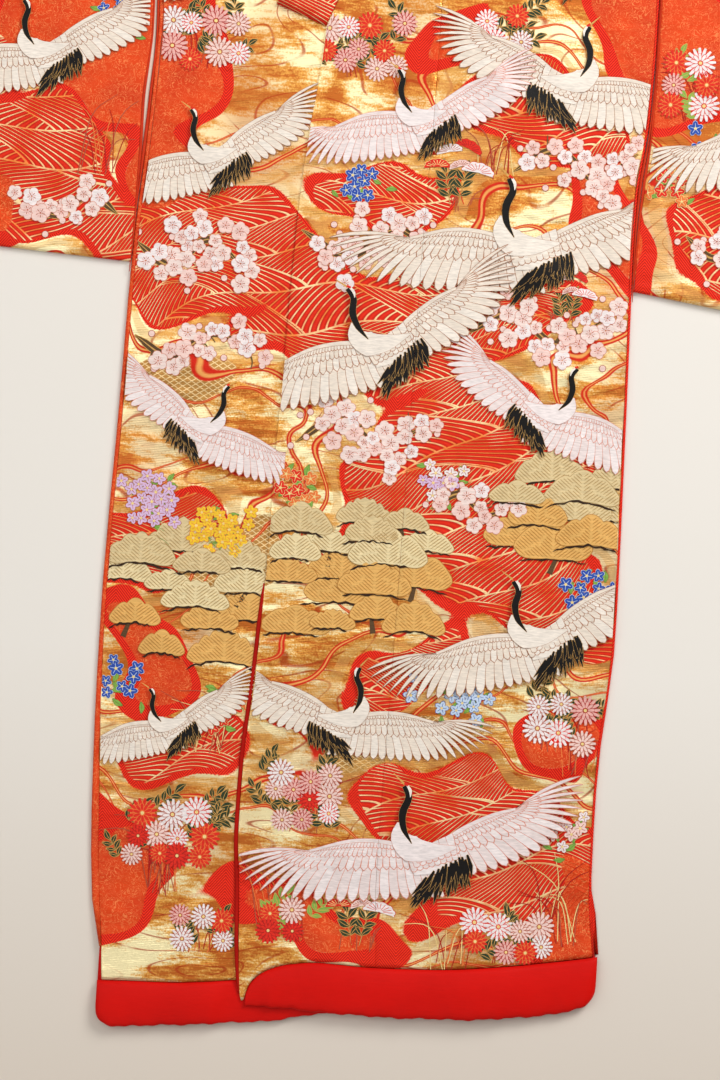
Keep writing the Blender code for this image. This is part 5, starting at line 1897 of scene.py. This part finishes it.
class UCHIKAKE_OT_front_motifs(bpy.types.Operator):
    """Lays the woven motifs on both fronts"""

    bl_idname = "uchikake.front_motifs"
    bl_label = "Front motifs"

    def execute(self, context):
        def left_low(x):
            return along(LEFT_HEM, "top", x, "x")

        def right_low(x):
            return along(RIGHT_HEM, "top", x, "x")

        def under_edge(y):
            """Just inside the edge of the left front and its collar, which lie on this panel."""
            cover = along(FRONT_EDGE, "x", y) + 12
            above = np.maximum(0, y - COLLAR_END_Y)
            seam = along(COLLAR_SEAM, "x", COLLAR_END_Y + above)
            cover = cover + (seam - 48 - cover) * smooth((y - COLLAR_END_Y + 25) / 25)
            return np.minimum(cover, front_inner("right", y))

        art = drawn(FRONT_MOTIFS, 11)
        lay_motifs(art, "gore_motifs_left", (-150, 60, 40, GORE_POINT_Y - 20),
                   lambda y: gore_inner("left", y) + 1, lambda y: gore_outer("left", y), left_low,
                   left_front)
        lay_motifs(art, "body_motifs_left", (0, 320, 40, TURN_Y - 20),
                   lambda y: front_inner("left", y), lambda y: front_outer("left", y) - 1,
                   left_low, left_front)
        lay_motifs(drawn(UNDER_MOTIFS, 12), "body_motifs_right", (-330, 0, 0, TURN_Y - 20),
                   under_edge, lambda y: front_outer("right", y) + 1, right_low, right_front)
        return {"FINISHED"}


class UCHIKAKE_OT_sleeve_motifs(bpy.types.Operator):
    """Lays the woven motifs on both sleeves"""

    bl_idname = "uchikake.sleeve_motifs"
    bl_label = "Sleeve motifs"

    def execute(self, context):
        for side, toward in TOWARD.items():
            box = (min(290 * toward, 645 * toward), max(290 * toward, 645 * toward), 820, 1860)
            lay_motifs(drawn(SLEEVE_MOTIFS[side], 13), "sleeve_motifs_" + side, box,
                       lambda y: toward * (sleeve_inner(side, y, True) + 3),
                       lambda y: np.full_like(y, toward * (SLEEVE_REACH - 6)),
                       lambda x: sleeve_hem(side, np.abs(x), 2.5), sleeve_front)
        return {"FINISHED"}


class UCHIKAKE_OT_sheets(bpy.types.Operator):
    """Changes nothing in the scene"""

    bl_idname = "uchikake.sheets"
    bl_label = "Cloth sizes"

    def execute(self, context):
        return {"FINISHED"}


class UCHIKAKE_OT_stage(bpy.types.Operator):
    """Sets up the pale floor, the soft lights and the camera above the garment"""

    bl_idname = "uchikake.stage"
    bl_label = "Stage"

    def execute(self, context):
        stage = context.scene.uchikake_stage
        bm = bmesh.new()
        bmesh.ops.create_grid(bm, x_segments=1, y_segments=1, size=6.0)
        mesh = bpy.data.meshes.new("floor")
        bm.to_mesh(mesh)
        bm.free()
        mesh.materials.append(floor_material("matt_painted_board", stage))
        floor = bpy.data.objects.new("floor", mesh)
        context.scene.collection.objects.link(floor)

        for name, spot, size, watts, aim in (
            ("key", (2.1, 2.2, 2.3), (1.6, 1.6), 128, (0.0, -0.2, 0.0)),
            ("fill", (-2.6, 0.4, 3.0), (3.0, 3.0), 40, (0.0, -0.3, 0.0)),
            ("top", (0.0, 0.9, 3.8), (3.6, 2.4), 38, (0.0, 0.2, 0.0)),
            ("near", (-0.4, -2.6, 2.7), (2.6, 1.8), 15, (0.0, -0.5, 0.0)),
        ):
            light = bpy.data.lights.new(name, "AREA")
            light.shape = "RECTANGLE"
            light.size, light.size_y = size
            light.energy = watts
            lamp = bpy.data.objects.new(name, light)
            lamp.location = spot
            direction = np.array(aim) - np.array(spot)
            lamp.rotation_euler = Vector(direction).to_track_quat("-Z", "Y").to_euler()
            context.scene.collection.objects.link(lamp)

        world = bpy.data.worlds.new("studio")
        world.use_nodes = True
        back = world.node_tree.nodes["Background"]
        back.inputs["Color"].default_value = hex_colour("FFFFFF")
        back.inputs["Strength"].default_value = 0.22
        context.scene.world = world
        context.scene.view_settings.view_transform = "Standard"

        lens = bpy.data.cameras.new("camera")
        lens.lens = stage.lens
        camera = bpy.data.objects.new("camera", lens)
        camera.location = (-0.016, -0.406, 3.06)
        camera.rotation_euler = (0.0, 0.0, stage.turn)
        context.scene.collection.objects.link(camera)
        context.scene.camera = camera
        return {"FINISHED"}


class UCHIKAKE_PT_panel(bpy.types.Panel):
    """Lists the sizes, the colours and the steps of the kimono"""

    bl_idname = "UCHIKAKE_PT_panel"
    bl_label = "Uchikake"
    bl_space_type = "VIEW_3D"
    bl_region_type = "UI"
    bl_category = "Uchikake"

    def draw(self, context):
        column = self.layout.column()
        for group in (context.scene.uchikake_look, context.scene.uchikake_stage):
            for field in group.bl_rna.properties.keys():
                if field not in ("rna_type", "name"):
                    column.prop(group, field)
        for step in STEPS:
            column.operator(step)


STEPS = (
    "uchikake.bodies",
    "uchikake.gores",
    "uchikake.sleeves",
    "uchikake.collar",
    "uchikake.hem_rolls",
    "uchikake.front_motifs",
    "uchikake.sleeve_motifs",
    "uchikake.stage",
    "uchikake.sheets",
)
CLASSES = (
    UchikakeLook,
    UchikakeStage,
    UCHIKAKE_OT_bodies,
    UCHIKAKE_OT_gores,
    UCHIKAKE_OT_sleeves,
    UCHIKAKE_OT_collar,
    UCHIKAKE_OT_hem_rolls,
    UCHIKAKE_OT_front_motifs,
    UCHIKAKE_OT_sleeve_motifs,
    UCHIKAKE_OT_sheets,
    UCHIKAKE_OT_stage,
    UCHIKAKE_PT_panel,
)


def register():
    for made in CLASSES:
        bpy.utils.register_class(made)
    bpy.types.Scene.uchikake_look = bpy.props.PointerProperty(type=UchikakeLook)
    bpy.types.Scene.uchikake_stage = bpy.props.PointerProperty(type=UchikakeStage)


def unregister():
    del bpy.types.Scene.uchikake_look
    del bpy.types.Scene.uchikake_stage
    for made in reversed(CLASSES):
        bpy.utils.unregister_class(made)


def main():
    register()
    for step in STEPS:
        group, name = step.split(".")
        getattr(getattr(bpy.ops, group), name)()
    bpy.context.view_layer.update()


if __name__ == "__main__":
    main()
